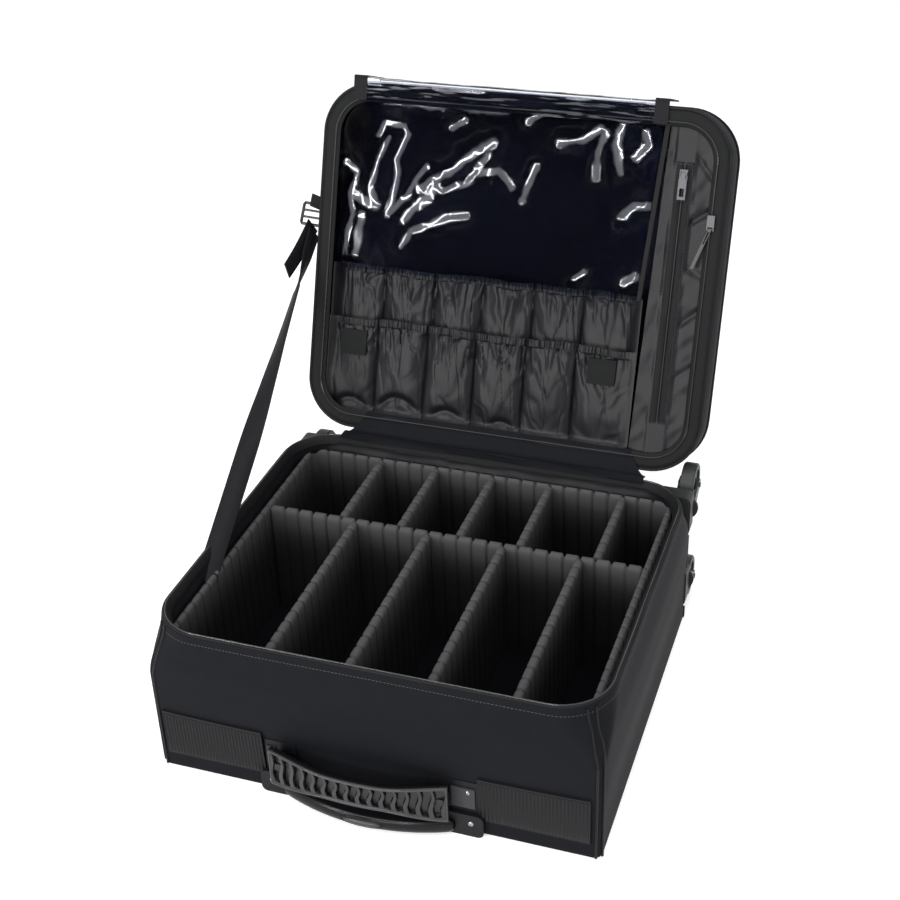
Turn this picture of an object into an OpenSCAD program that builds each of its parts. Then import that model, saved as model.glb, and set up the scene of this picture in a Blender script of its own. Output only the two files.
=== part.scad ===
// Rolling makeup case, lying on its back panel with the lid open.
// The origin is the middle of the resting face. X runs along the handle face,
// Y from the handle face to the wheel face, Z up. Sizes are in millimetres.

/* [Body] */
// Width of the case along the handle face (mm)
case_w = 420; // [380:1:460]
// Length from the handle face to the wheel face (mm)
case_l = 358; // [340:1:400]
// Height of the tub up to its rim (mm)
base_h = 160; // [150:1:190]
// Depth of the lid (mm)
lid_depth = 45; // [36:1:70]
// Corner radius at the rim (mm)
rim_r = 50; // [35:1:60]
// Corner radius near the back panel (mm)
foot_r = 8; // [7:0.5:12]
// Height where the corners start to open out (mm)
bend_z = 115; // [100:1:125]
// Angle that the lid stands open by (degrees)
open_angle = 110; // [90:1:120]

/* [Wall] */
// Thickness of the outer fabric (mm)
fabric_t = 1.5; // [1:0.1:2]
// Thickness of the stiffening boards (mm)
board_t = 3; // [2:0.1:3]
// Thickness of the satin lining (mm)
lining_t = 1; // [0.6:0.1:1]

/* [Insert] */
// Space from the tub's side walls to the foam insert (mm)
insert_gap_w = 14; // [12:0.5:18]
// Space from the tub's end walls to the foam insert (mm)
insert_gap_l = 11; // [10:0.5:16]
// Height of the insert's top edge (mm)
insert_top = 146; // [120:1:150]
// Thickness of the insert's walls (mm)
insert_t = 6; // [5:0.5:8]
// Spacing of the grooves that hold the dividers (mm)
groove_pitch = 15.2; // [14:0.1:18]
// Width of one groove (mm)
groove_w = 3.4; // [3:0.1:7]
// Thickness of a divider over its beads (mm)
divider_t = 9; // [7:0.5:10]
// Position of the cross divider along the case (mm)
cross_y = 52; // [30:1:70]

/* [Trolley] */
// Distance of each tube from the middle (mm)
tube_x = 62; // [55:1:66]
// Height of the tubes' centre (mm)
tube_z = 11; // [11:0.5:12]
// Space from the sleeves' far end to the wheel face (mm)
sleeve_gap = 13; // [12:1:30]
// Half width of the trolley grip (mm)
grip_x = 80; // [75:1:90]
// How far the grip stands out in the middle (mm)
grip_out = 28; // [26:1:34]

/* [Carry handle] */
// Middle of the carry handle across the face (mm)
handle_cx = -6.5; // [-8:0.5:8]
// Height of its middle line (mm)
handle_z = 42; // [42:0.5:46]
// Length of the grip (mm)
handle_l = 169; // [150:1:180]
// How far its outer face stands out in the middle (mm)
handle_out = 27; // [24:1:34]
// How far its outer face stands out at the ends (mm)
handle_end = 15; // [13:1:18]
// Thickness of the grip (mm)
handle_t = 5.5; // [4:0.5:6]

/* [Casters] */
// Distance of each swivel's axis in from the side wall (mm)
caster_in = 8; // [7:0.5:12]
// Height of the upper pair (mm)
caster_top_z = 128; // [118:1:130]
// Height of the lower pair (mm)
caster_low_z = 40; // [38:1:50]
// Radius of a wheel (mm)
wheel_r = 21.5; // [18:0.5:22]
// Width of a wheel (mm)
wheel_w = 14; // [12:1:16]
// Distance of the axle from the swivel's axis (mm)
trail = 13; // [10:1:14]

/* [Lid] */
// Width of the zip tape round the lid's mouth (mm)
tape_w = 17; // [14:0.5:20]
// Height of the clear pocket's lower edge above the hinge edge (mm)
window_low = 160; // [150:1:175]
// Height of the upper pockets' hem above the hinge edge (mm)
upper_hem = 170; // [150:1:180]
// Height of the lower pockets' hem above the hinge edge (mm)
lower_hem = 116; // [100:1:130]
// Width of the satin panel that holds the side zip (mm)
panel_w = 70; // [60:1:80]
// Height of the main zip's slider above the hinge edge (mm)
slider_h = 245; // [200:1:260]
// Length of the main zip's cord pull (mm)
pull_l = 42; // [30:1:50]
// Height of the strap's loop above the hinge edge (mm)
loop_h = 240; // [200:1:250]
// How far the flap's skirt reaches back over the lid (mm)
skirt_l = 50; // [48:1:75]
// Length of the flap's hanging sheet (mm)
flap_l = 200; // [150:1:220]
// Half length of the hinge's middle leaf (mm)
leaf_x = 51; // [40:1:70]

/* [Hidden] */
hx = case_w / 2;
hl = case_l / 2;
wall = fabric_t + board_t + lining_t;
liner = fabric_t + board_t;
// the lid's outline is a little shorter than the base's and shares its rear edge
lid_l = case_l - 2;
lid_cy = 1;
lid_z = base_h + 2.3;
lid_top = lid_z + lid_depth;
// the welt rod behind the wheel face that the lid turns on
pin_y = hl + 7.33;
pin_z = base_h - 3.2;
pin_r = 2;
// inside of the insert, and how many grooves fit on each of its walls
insert_w = case_w - 2 * insert_gap_w;
insert_l = case_l - 2 * insert_gap_l;
in_x = insert_w / 2 - insert_t;
in_y = insert_l / 2 - insert_t;
corner_room = 12;
grooves_x = floor((in_x - corner_room) / groove_pitch - 0.5);
grooves_front = floor((in_y - corner_room + cross_y) / groove_pitch);
grooves_rear = floor((in_y - corner_room - cross_y) / groove_pitch);
insert_floor_z = 20;
insert_z = 23;
// the casters
caster_x = hx - caster_in;
axle_y = hl + 34.5;
// hardware on the handle face
sleeve_l = case_l - sleeve_gap;
sleeve_y = -hl + sleeve_l;
plate_x = tube_x + 38;
bezel_x = tube_x + 44;
screw_x = tube_x + 30;
// hinge rod and the flap's ends
rod_half = hx - 60;
flap_x0 = -hx + 38;
flap_x1 = hx - 75;
// the lid's panels
panel_x = hx - panel_w;
zip_x = panel_x + 25.5;
zip_top = lid_l - rim_r - 2;
main_x = hx - tape_w + 4;
seam_x0 = -hx + 24;
seam_x1 = panel_x - 6;
seams = [for (share = [0, 0.144, 0.316, 0.481, 0.65, 0.816, 1]) seam_x0 + share * (seam_x1 - seam_x0)];
seam_d = 0.533 * lid_depth;
upper_d = 0.378 * lid_depth;
lower_seam_d = 0.311 * lid_depth;
lower_d = 0.133 * lid_depth;
play = 0.05;
e = 0.01;
$fn = 48;

// Shapes

module rounded_rect(w, l, r) {
    square([w - 2 * r, l], center = true);
    square([w, l - 2 * r], center = true);
    for (sx = [-1, 1], sy = [-1, 1])
        translate([sx * (w / 2 - r), sy * (l / 2 - r)])
            circle(r = r);
}

module block(low, high) {
    translate(low)
        cube(high - low);
}

// a rod along X
module rod_x(x0, x1, y, z, r) {
    translate([x0, y, z])
        rotate([0, 90, 0])
            cylinder(h = x1 - x0, r = r);
}

// a rod along Y
module rod_y(y0, y1, x, z, r) {
    translate([x, y0, z])
        rotate([-90, 0, 0])
            cylinder(h = y1 - y0, r = r);
}

// a plan shape from z0 to z1
module slab(z0, z1) {
    translate([0, 0, z0])
        linear_extrude(z1 - z0)
            children();
}

// a shape drawn in Y and Z, run along X
module run_x(x0, x1) {
    translate([x0, 0, 0])
        rotate([90, 0, 90])
            linear_extrude(x1 - x0)
                children();
}

// a shape drawn in X and Z, run along Y
module run_y(y0, y1) {
    translate([0, y1, 0])
        rotate([90, 0, 0])
            linear_extrude(y1 - y0)
                children();
}

// the tub's form, inset by a wall: sharp corners below the bend, round ones at the rim
module tub_form(inset, z0, z1) {
    w = case_w - 2 * inset;
    l = case_l - 2 * inset;
    low_r = max(foot_r - inset, 2);
    slab(z0, bend_z)
        rounded_rect(w, l, low_r);
    hull() {
        slab(bend_z, bend_z + e)
            rounded_rect(w, l, low_r);
        slab(base_h - e, base_h)
            rounded_rect(w, l, rim_r - inset);
    }
    if (z1 > base_h)
        slab(base_h, z1)
            rounded_rect(w, l, rim_r - inset);
}

// a frame in the lid's outline, between two insets
module lid_frame(outer, inner, z0, z1) {
    translate([0, lid_cy, 0])
        slab(z0, z1)
            difference() {
                rounded_rect(case_w - 2 * outer, lid_l - 2 * outer, rim_r - outer);
                rounded_rect(case_w - 2 * inner, lid_l - 2 * inner, rim_r - inner);
            }
}

// the lid is drawn shut and then stood open about its rod
module opened() {
    translate([0, pin_y, pin_z])
        rotate([-open_angle, 0, 0])
            translate([0, -pin_y, -pin_z])
                children();
}

// Tub

module base_shell() {
    color([0.08, 0.08, 0.09])
        difference() {
            tub_form(0, 0, base_h);
            tub_form(fabric_t, fabric_t, base_h + 2);
            for (s = [-1, 1])
                sleeve_window(s, -hl - 1, -hl + fabric_t + 1);
        }
}

module sleeve_window(s, y0, y1) {
    block([s * tube_x - 12.2, y0, tube_z - 6.7], [s * tube_x + 12.2, y1, tube_z + 6.7]);
}

module side_boards() {
    z0 = fabric_t + board_t;
    z1 = base_h - 1;
    bx = hx - rim_r - 8;
    by = hl - rim_r - 8;
    color([0.45, 0.36, 0.26]) {
        difference() {
            block([-bx, -hl + fabric_t, z0], [bx, -hl + liner, z1]);
            for (s = [-1, 1])
                sleeve_window(s, -hl, -hl + liner + 1);
        }
        block([-bx, hl - liner, z0], [bx, hl - fabric_t, z1]);
        for (s = [-1, 1])
            block([s > 0 ? hx - liner : -hx + fabric_t, -by, z0],
                [s > 0 ? hx - fabric_t : -hx + liner, by, z1]);
    }
}

module back_board() {
    color([0.45, 0.36, 0.26])
        slab(fabric_t, fabric_t + board_t)
            rounded_rect(case_w - 2 * fabric_t - 0.2, case_l - 2 * fabric_t - 0.2, foot_r - fabric_t);
}

module base_lining() {
    color([0.16, 0.16, 0.18])
        difference() {
            tub_form(liner, insert_floor_z - lining_t, base_h);
            tub_form(wall, insert_floor_z, base_h + 2);
        }
}

// cords on both sides of each upright corner; those on the wheel face stop at the casters
module base_piping() {
    z1 = bend_z - 3;
    low = caster_low_z - 22.5;
    color([0.1, 0.1, 0.11])
        for (s = [-1, 1], a = [20, 70]) {
            x = s * (hx - foot_r + (foot_r + 1.4) * cos(a));
            y = hl - foot_r + (foot_r + 1.4) * sin(a);
            piping_cord(x, -y, 1, z1);
            piping_cord(x, y, 1, low);
            piping_cord(x, y, low + 45, caster_top_z - 22.5);
        }
}

module piping_cord(x, y, z0, z1) {
    translate([x, y, z0])
        cylinder(h = z1 - z0, r = 1.4);
}

module base_ring(outer, inner, z0, z1) {
    slab(z0, z1)
        difference() {
            rounded_rect(case_w - 2 * outer, case_l - 2 * outer, rim_r - outer);
            rounded_rect(case_w - 2 * inner, case_l - 2 * inner, rim_r - inner);
        }
}

module base_zip_tape() {
    color([0.12, 0.12, 0.13]) {
        base_ring(0, 9, base_h, base_h + 1.2);
        base_ring(3, 4.2, base_h + 1.2, base_h + 2.1);
    }
}

module hinge_strip() {
    color([0.1, 0.1, 0.11]) {
        for (s = [-1, 1])
            run_x(s > 0 ? leaf_x + 1 : -rod_half, s > 0 ? rod_half : -leaf_x - 1)
                polygon([[hl, 128], [hl + 1.4, 128], [hl + 1.4, 145.5], [pin_y + 1.6, pin_z - 0.6],
                    [pin_y - 1.2, pin_z + 0.8], [hl, 148]]);
        rod_x(-rod_half, rod_half, pin_y, pin_z, pin_r);
    }
}

rib_pitch = 3.3;

module ribbed_bands() {
    color([0.05, 0.05, 0.055])
        for (s = [-1, 1]) {
            x0 = plate_x + 1;
            x1 = hx - foot_r - 1;
            block([s > 0 ? x0 : -x1, -hl - 1.5, 28], [s > 0 ? x1 : -x0, -hl, 69]);
            for (k = [0 : floor((x1 - x0 - 3) / rib_pitch)])
                translate([s * (x0 + 1.8 + k * rib_pitch) - 0.9, 0, 0])
                    block([0, -hl - 2.7, 31], [1.8, -hl - 1.49, 66]);
        }
}

// the bezel on the handle face and the bracket at the sleeves' far end
module trolley_mounts() {
    y1 = sleeve_y;
    color([0.05, 0.05, 0.055]) {
        difference() {
            run_y(-hl - 5.5, -hl)
                translate([0, 12.75])
                    rounded_rect(2 * bezel_x, 24.5, 6);
            for (s = [-1, 1])
                block([s * tube_x - 12, -hl - 6, tube_z - 6.5], [s * tube_x + 12, -hl + 1, tube_z + 6.5]);
        }
        block([-tube_x - 20, y1, liner], [tube_x + 20, y1 + 4, liner + 13]);
        for (s = [-1, 1])
            block([s * tube_x - 10.9, y1 - 8, tube_z - 5.4], [s * tube_x + 10.9, y1, tube_z + 5.4]);
    }
}

module face_fasteners() {
    color([0.8, 0.8, 0.8])
        for (s = [-1, 1]) {
            difference() {
                rod_y(-hl - 6.7, -hl - 5.5, s * screw_x, tube_z, 3.6);
                translate([s * screw_x, -hl, tube_z]) {
                    block([-0.5, -7, -2.2], [0.5, -6.1, 2.2]);
                    block([-2.2, -7, -0.5], [2.2, -6.1, 0.5]);
                }
            }
            // a rivet through the middle of what shows of the webbing
            x = s > 0 ? plate_x - 9 : (handle_cx - 82.6 - plate_x + 2) / 2;
            rod_y(-hl - 4, -hl - 3, x, handle_z, 4.2);
            rod_y(-hl - 4.6, -hl - 4, x, handle_z, 2.8);
        }
}

module tube(w, h, t, y0, y1, s) {
    difference() {
        block([s * tube_x - w / 2, y0, tube_z - h / 2], [s * tube_x + w / 2, y1, tube_z + h / 2]);
        block([s * tube_x - w / 2 + t, y0 - 1, tube_z - h / 2 + t],
            [s * tube_x + w / 2 - t, y1 + 1, tube_z + h / 2 - t]);
    }
}

module trolley_sleeves() {
    color([0.6, 0.6, 0.62])
        for (s = [-1, 1])
            tube(24, 13, 1, -hl - 5.5, sleeve_y, s);
}

module mid_tubes() {
    color([0.66, 0.66, 0.68])
        for (s = [-1, 1])
            tube(21.4, 10.4, 1, -hl - 5, sleeve_y - 16, s);
}

// Trolley grip

module inner_tubes() {
    color([0.72, 0.72, 0.74])
        for (s = [-1, 1])
            tube(18.8, 7.8, 1, -hl - 7.5, sleeve_y - 26, s);
}

module grip_plan() {
    sag = grip_out - 11;
    r = (grip_x * grip_x + sag * sag) / (2 * sag);
    intersection() {
        translate([0, -hl - grip_out + r])
            circle(r = r, $fn = 240);
        translate([-grip_x, -hl - grip_out - 1])
            square([2 * grip_x, grip_out - 6.5]);
    }
}

module trolley_grip() {
    yb = -hl - 7.5;
    color([0.03, 0.03, 0.03])
        difference() {
            intersection() {
                slab(tube_z - 7, tube_z + 7)
                    grip_plan();
                run_y(-hl - grip_out - 1, -hl)
                    translate([0, tube_z])
                        polygon([[-grip_x, -3], [-grip_x + 2, -6], [-grip_x + 5, -7], [grip_x - 5, -7],
                            [grip_x - 2, -6], [grip_x, -3], [grip_x, 3], [grip_x - 2, 6], [grip_x - 5, 7],
                            [-grip_x + 5, 7], [-grip_x + 2, 6], [-grip_x, 3]]);
            }
            // hollow for the button's crossbar
            block([-66, yb - 7.7, tube_z - 3], [66, yb - 1.5, tube_z + 3]);
            // opening for the button
            block([-18.7, -hl - grip_out - 2, tube_z - 3.7], [18.7, yb - 1.5, tube_z + 3.7]);
            for (s = [-1, 1])
                rod_y(yb - 2, yb + 1, s * tube_x, tube_z, 2.3);
        }
}

module trolley_button() {
    yb = -hl - 7.5;
    color([0.07, 0.07, 0.07])
        difference() {
            union() {
                block([-18.4, -hl - grip_out - 2.8, tube_z - 3.4], [18.4, yb - 4.5, tube_z + 3.4]);
                block([-65.5, yb - 7.5, tube_z - 2.6], [65.5, yb - 4.5, tube_z + 2.6]);
            }
            rod_y(-hl - grip_out + 3, yb, 0, tube_z, 2.7);
        }
}

module release_rods() {
    yb = -hl - 7.5;
    color([0.6, 0.6, 0.6])
        for (s = [-1, 1])
            rod_y(yb - 4.5, sleeve_y - 46, s * tube_x, tube_z, 2);
}

module button_spring() {
    y0 = -hl - grip_out + 3.4;
    y1 = -hl - 9.4;
    color([0.7, 0.7, 0.7]) {
        for (k = [0 : 5])
            translate([0, y0 + (y1 - y0) * k / 5, tube_z])
                rotate([90, 0, 0])
                    rotate_extrude()
                        translate([1.9, 0])
                            circle(r = 0.35, $fn = 12);
        rod_y(y0, y1, 1.9, tube_z, 0.25);
    }
}

// Carry handle

// the pivot pins stand between two lugs behind each end of the grip
module handle_end_plates() {
    color([0.06, 0.06, 0.06])
        for (s = [-1, 1]) {
            c = handle_cx + s * 73;
            edge = s * plate_x;
            block([min(c - 9.5, edge), -hl - 1.5, 25.2], [max(c + 9.5, edge), -hl, 60]);
            for (t = [-1, 1])
                block([c + t * 8 - 1, -hl - 8.4, handle_z - 4], [c + t * 8 + 1, -hl - 1.5, handle_z + 4]);
            rod_x(c - 8, c + 8, -hl - 5.4, handle_z, pin_r);
        }
}

module webbing_tabs() {
    color([0.6, 0.6, 0.62])
        for (s = [-1, 1]) {
            low = s > 0 ? handle_cx + 82.6 : -plate_x + 2;
            high = s > 0 ? plate_x - 2 : handle_cx - 82.6;
            block([low, -hl - 3, handle_z - 11], [high, -hl - 1.5, handle_z + 11]);
        }
}

module handle_plan() {
    half = handle_l / 2;
    sag = handle_out - handle_end;
    r = (half * half + sag * sag) / (2 * sag);
    translate([handle_cx, 0])
        intersection() {
            translate([0, -hl - handle_out + r])
                difference() {
                    circle(r = r, $fn = 240);
                    circle(r = r - handle_t, $fn = 240);
                }
            translate([-half, -hl - handle_out - 1])
                square([handle_l, handle_out]);
        }
}

module handle_outline() {
    half = handle_l / 2;
    translate([handle_cx, handle_z])
        polygon([[-half, -16], [-half + 5, -21.5], [-half + 12, -22.5], [-56, -22], [-44, -19], [-30, -16.6],
            [30, -16.6], [44, -19], [56, -22], [half - 12, -22.5], [half - 5, -21.5], [half, -16],
            [half, 16], [half - 5, 21.5], [half - 12, 22.5], [56, 22], [44, 19], [30, 16.6],
            [-30, 16.6], [-44, 19], [-56, 22], [-half + 12, 22.5], [-half + 5, 21.5], [-half, 16]]);
}

module handle_slot() {
    polygon([[-0.6, -10], [1.8, -10], [1.8, -4], [4.2, 0], [1.8, 4], [1.8, 10], [-0.6, 10],
        [-0.6, 4.6], [1.8, 0], [-0.6, -4.6]]);
}

module handle_grip() {
    color([0.07, 0.07, 0.07])
        difference() {
            union() {
                intersection() {
                    slab(handle_z - 24, handle_z + 24)
                        handle_plan();
                    run_y(-hl - handle_out - 1, -hl)
                        handle_outline();
                }
                for (s = [-1, 1])
                    run_x(handle_cx + s * 73 - 6.5, handle_cx + s * 73 + 6.5) {
                        translate([-hl - 5.4, handle_z])
                            circle(r = 3.6);
                        translate([-hl - 14.5, handle_z - 3.6])
                            square([9.1, 7.2]);
                    }
            }
            for (s = [-1, 1])
                rod_x(handle_cx + s * 73 - 8, handle_cx + s * 73 + 8, -hl - 5.4, handle_z, pin_r + play);
            for (k = [-7 : 7])
                run_y(-hl - handle_out - 2, -hl - 13)
                    translate([handle_cx + 8 * k, handle_z])
                        handle_slot();
        }
}

// Casters, two above and two below on the wheel face

module caster_housings() {
    color([0.42, 0.44, 0.42])
        difference() {
            for (s = [-1, 1], z = [caster_top_z, caster_low_z])
                run_y(hl - 8, hl + 9)
                    translate([s * (caster_x - 13.5), z])
                        rounded_rect(46, 44, 6);
            tub_form(0, -1, base_h);
            for (s = [-1, 1], z = [caster_top_z, caster_low_z])
                rod_y(hl, hl + 10, s * caster_x, z, 4 + play);
        }
}

// drawn with the swivel's axis at the origin and the wheel hanging to -Z
module fork() {
    rod_y(hl + 0.3, hl + 10, 0, 0, 4);
    rod_y(hl + 9.4, hl + 12, 0, 0, 14);
    for (s = [-1, 1])
        run_x(s > 0 ? wheel_w / 2 + 0.8 : -wheel_w / 2 - 3.2, s > 0 ? wheel_w / 2 + 3.2 : -wheel_w / 2 - 0.8) {
            polygon([[hl + 9.4, 9], [hl + 12, 9], [axle_y + 6, -trail + 1], [axle_y + 1, -trail - 6],
                [axle_y - 6, -trail - 4], [hl + 9.4, -9]]);
            translate([axle_y, -trail])
                circle(r = 6.4);
        }
    rod_x(-wheel_w / 2 - 4.4, wheel_w / 2 + 4.4, axle_y, -trail, 2.5);
}

module wheel() {
    difference() {
        union() {
            rod_x(-wheel_w / 2, wheel_w / 2, axle_y, -trail, wheel_r - 1.2);
            rod_x(-wheel_w / 2 + 1.2, wheel_w / 2 - 1.2, axle_y, -trail, wheel_r);
        }
        for (s = [-1, 1])
            translate([s * wheel_w / 2, axle_y, -trail])
                rotate([0, 90, 0])
                    difference() {
                        cylinder(h = 4, r = wheel_r - 6, center = true);
                        cylinder(h = 5, r = 6, center = true);
                    }
        rod_x(-wheel_w, wheel_w, axle_y, -trail, 2.5 + play);
    }
}

// 1 and 2 are the upper pair, left and right; the upper right one has swung up
module at_caster(n) {
    x = n % 2 == 1 ? -caster_x : caster_x;
    z = n <= 2 ? caster_top_z : caster_low_z;
    translate([x, 0, z])
        rotate([0, n == 2 ? 180 : 0, 0])
            children();
}

module caster_fork_1() {
    color([0.15, 0.15, 0.15]) at_caster(1) fork();
}

module caster_fork_2() {
    color([0.15, 0.15, 0.15]) at_caster(2) fork();
}

module caster_fork_3() {
    color([0.15, 0.15, 0.15]) at_caster(3) fork();
}

module caster_fork_4() {
    color([0.15, 0.15, 0.15]) at_caster(4) fork();
}

module wheel_1() {
    color([0.08, 0.08, 0.08]) at_caster(1) wheel();
}

module wheel_2() {
    color([0.08, 0.08, 0.08]) at_caster(2) wheel();
}

module wheel_3() {
    color([0.08, 0.08, 0.08]) at_caster(3) wheel();
}

module wheel_4() {
    color([0.08, 0.08, 0.08]) at_caster(4) wheel();
}

// Insert and dividers

module insert_walls() {
    color([0.2, 0.2, 0.21])
        slab(insert_z, insert_top)
            difference() {
                rounded_rect(insert_w, insert_l, 20);
                rounded_rect(2 * in_x, 2 * in_y, 5);
                for (k = [-grooves_x - 1 : grooves_x], s = [-1, 1])
                    translate([(k + 0.5) * groove_pitch - groove_w / 2, s > 0 ? in_y - 1 : -in_y - 3])
                        square([groove_w, 4]);
                for (k = [-grooves_front : grooves_rear], s = [-1, 1])
                    translate([s > 0 ? in_x - 1 : -in_x - 3, cross_y + k * groove_pitch - groove_w / 2])
                        square([4, groove_w]);
            }
}

module insert_floor() {
    color([0.12, 0.12, 0.13])
        slab(insert_floor_z, insert_z)
            rounded_rect(insert_w, insert_l, 20);
}

// one side of a divider's beaded outline, from y0 to y1
function beads(y0, y1, n) = [for (k = [0 : n - 1]) each
    let (p = (y1 - y0) / n, a = y0 + k * p, t = divider_t / 2)
        [[t - 1.4, a], [t, a + 1.4], [t, a + p - 1.4], [t - 1.4, a + p]]];

function mirrored(points) = [for (i = [len(points) - 1 : -1 : 0]) [-points[i][0], points[i][1]]];

// a short divider from y0 to y1 with a tongue at each end
module divider(x, y0, y1, tongue0, tongue1, n) {
    t = groove_w / 2 - 0.4;
    side = concat([[t, y0 - tongue0], [t, y0 + 0.4]], beads(y0 + 0.4, y1 - 0.4, n),
        [[t, y1 - 0.4], [t, y1 + tongue1]]);
    color([0.2, 0.2, 0.21])
        translate([x, 0, 0])
            slab(insert_z, insert_top - 0.5)
                polygon(concat(side, mirrored(side)));
}

module cross_divider() {
    t = divider_t / 2;
    color([0.2, 0.2, 0.21])
        slab(insert_z, insert_top - 0.5)
            difference() {
                union() {
                    translate([-in_x + 0.4, cross_y - t])
                        square([2 * in_x - 0.8, 2 * t]);
                    translate([-in_x - 2.6, cross_y - groove_w / 2 + 0.4])
                        square([2 * in_x + 5.2, groove_w - 0.8]);
                }
                for (k = [-grooves_x - 1 : grooves_x], s = [-1, 1])
                    translate([(k + 0.5) * groove_pitch - groove_w / 2, cross_y + (s > 0 ? t - 1.8 : -t - 1)])
                        square([groove_w, 2.8]);
            }
}

module front_divider(k) {
    divider(k * groove_pitch, -in_y, cross_y - divider_t / 2, 2.6, 1.4, 15);
}

module rear_divider(k) {
    divider(k * groove_pitch, cross_y + divider_t / 2, in_y, 1.4, 2.6, 8);
}

module front_divider_1() {
    front_divider(-6.5);
}

module front_divider_2() {
    front_divider(-1.5);
}

module front_divider_3() {
    front_divider(3.5);
}

module front_divider_4() {
    front_divider(8.5);
}

module rear_divider_1() {
    rear_divider(-7.5);
}

module rear_divider_2() {
    rear_divider(-3.5);
}

module rear_divider_3() {
    rear_divider(0.5);
}

module rear_divider_4() {
    rear_divider(4.5);
}

module rear_divider_5() {
    rear_divider(9.5);
}

// Lid, drawn shut

// a plan rectangle in the lid: x from the middle, h up from the hinge edge
module lid_plate(x0, x1, h0, h1, z0, z1) {
    block([x0, hl - h1, z0], [x1, hl - h0, z1]);
}

module lid_shell() {
    color([0.08, 0.08, 0.09])
        opened()
            translate([0, lid_cy, 0])
                difference() {
                    slab(lid_z + 1.2, lid_top)
                        rounded_rect(case_w, lid_l, rim_r);
                    slab(lid_z, lid_top - fabric_t)
                        rounded_rect(case_w - 2 * fabric_t, lid_l - 2 * fabric_t, rim_r - fabric_t);
                }
}

module lid_board() {
    z0 = lid_z + 2.2;
    z1 = lid_top - fabric_t;
    bx = hx - rim_r - 4;
    by = lid_l / 2 - rim_r - 4;
    color([0.45, 0.36, 0.26])
        opened()
            translate([0, lid_cy, 0]) {
                slab(z1 - board_t, z1)
                    rounded_rect(case_w - 2 * fabric_t - 0.2, lid_l - 2 * fabric_t - 0.2, rim_r - fabric_t);
                for (s = [-1, 1]) {
                    block([-bx, s > 0 ? lid_l / 2 - liner : -lid_l / 2 + fabric_t, z0],
                        [bx, s > 0 ? lid_l / 2 - fabric_t : -lid_l / 2 + liner, z1 - board_t]);
                    block([s > 0 ? hx - liner : -hx + fabric_t, -by, z0],
                        [s > 0 ? hx - fabric_t : -hx + liner, by, z1 - board_t]);
                }
            }
}

module lid_lining() {
    z1 = lid_top - liner;
    color([0.16, 0.16, 0.18])
        opened() {
            translate([0, lid_cy, 0])
                difference() {
                    slab(lid_z + 1.2, z1)
                        rounded_rect(case_w - 2 * liner, lid_l - 2 * liner, rim_r - liner);
                    slab(lid_z, z1 - lining_t)
                        rounded_rect(case_w - 2 * wall, lid_l - 2 * wall, rim_r - wall);
                }
            // the satin panel beside the clear pocket
            lid_plate(panel_x, hx - wall, rim_r, lid_l - rim_r, lid_z + 3, lid_z + 4);
        }
}

module lid_piping() {
    w = hx - rim_r;
    l = lid_l / 2 - rim_r;
    c = 1.4;
    color([0.1, 0.1, 0.11])
        opened()
            translate([0, lid_cy, lid_top - 3]) {
                for (s = [-1, 1]) {
                    rod_x(-w, w, s * (lid_l / 2 + c), 0, c);
                    rod_y(-l, l, s * (hx + c), 0, c);
                }
                for (q = [0 : 3]) {
                    sx = q == 0 || q == 3 ? 1 : -1;
                    sy = q < 2 ? 1 : -1;
                    translate([sx * w, sy * l, 0])
                        rotate([0, 0, 90 * q])
                            rotate_extrude(angle = 90)
                                translate([rim_r + c, 0])
                                    circle(r = c, $fn = 16);
                }
            }
}

module lid_zip_tape() {
    color([0.12, 0.12, 0.13])
        opened() {
            lid_frame(0, tape_w, lid_z, lid_z + 1.2);
            lid_frame(tape_w - 4.6, tape_w - 3.4, lid_z - 0.9, lid_z);
            // lip that the clear flap's fold is sewn to
            block([flap_x0, fold_y + 0.6, lid_z], [flap_x1, lid_cy - lid_l / 2, lid_z + 1.2]);
        }
}

module lid_hinge_leaf() {
    color([0.1, 0.1, 0.11])
        opened()
            difference() {
                union() {
                    run_x(-leaf_x, leaf_x)
                        polygon([[hl, lid_z + 6], [hl, lid_z + 28], [hl + 1.4, lid_z + 28],
                            [hl + 1.4, lid_z + 8], [pin_y + 2.2, pin_z + 2], [pin_y, pin_z + 2.8]]);
                    rod_x(-leaf_x, leaf_x, pin_y, pin_z, 3.4);
                }
                rod_x(-leaf_x - 1, leaf_x + 1, pin_y, pin_z, pin_r + play);
            }
}

module clear_window() {
    color([0.75, 0.8, 0.82, 0.4])
        opened()
            difference() {
                lid_plate(-hx + 13, panel_x - 0.5, window_low, lid_l - 11, lid_z + 1.2, lid_z + 1.8);
                lid_plate(-hx + 12, -hx + rim_r, lid_l - rim_r, lid_l - 10, lid_z, lid_z + 3);
            }
}

// a gathered pocket: its front bulges between the seams, its back lies on the lid's lining
module gathered(h0, h1, seams, z_seam, z_bulge) {
    n = len(seams);
    front = [for (i = [0 : n - 1]) each (i < n - 1
        ? [[seams[i], z_seam], [seams[i] + 6, z_bulge], [seams[i + 1] - 6, z_bulge]]
        : [[seams[i], z_seam]])];
    back = [for (i = [n - 1 : -1 : 0]) each (i > 0
        ? [[seams[i], z_seam + 1.2], [seams[i] - 6.6, z_bulge + 1.2], [seams[i - 1] + 6.6, z_bulge + 1.2]]
        : [[seams[i], z_seam + 1.2]])];
    run_y(hl - h1, hl - h0)
        polygon(concat(front, back));
}

// the pocket's ends and floor, which join it to the lining
module pocket_back(x0, x1, h0, h1, z) {
    lid_plate(x0 - 1, x0, h0 - 1, h1, z, lid_top - wall);
    lid_plate(x1, x1 + 1, h0 - 1, h1, z, lid_top - wall);
    lid_plate(x0, x1, h0 - 1, h0, z, lid_top - wall);
}

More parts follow.
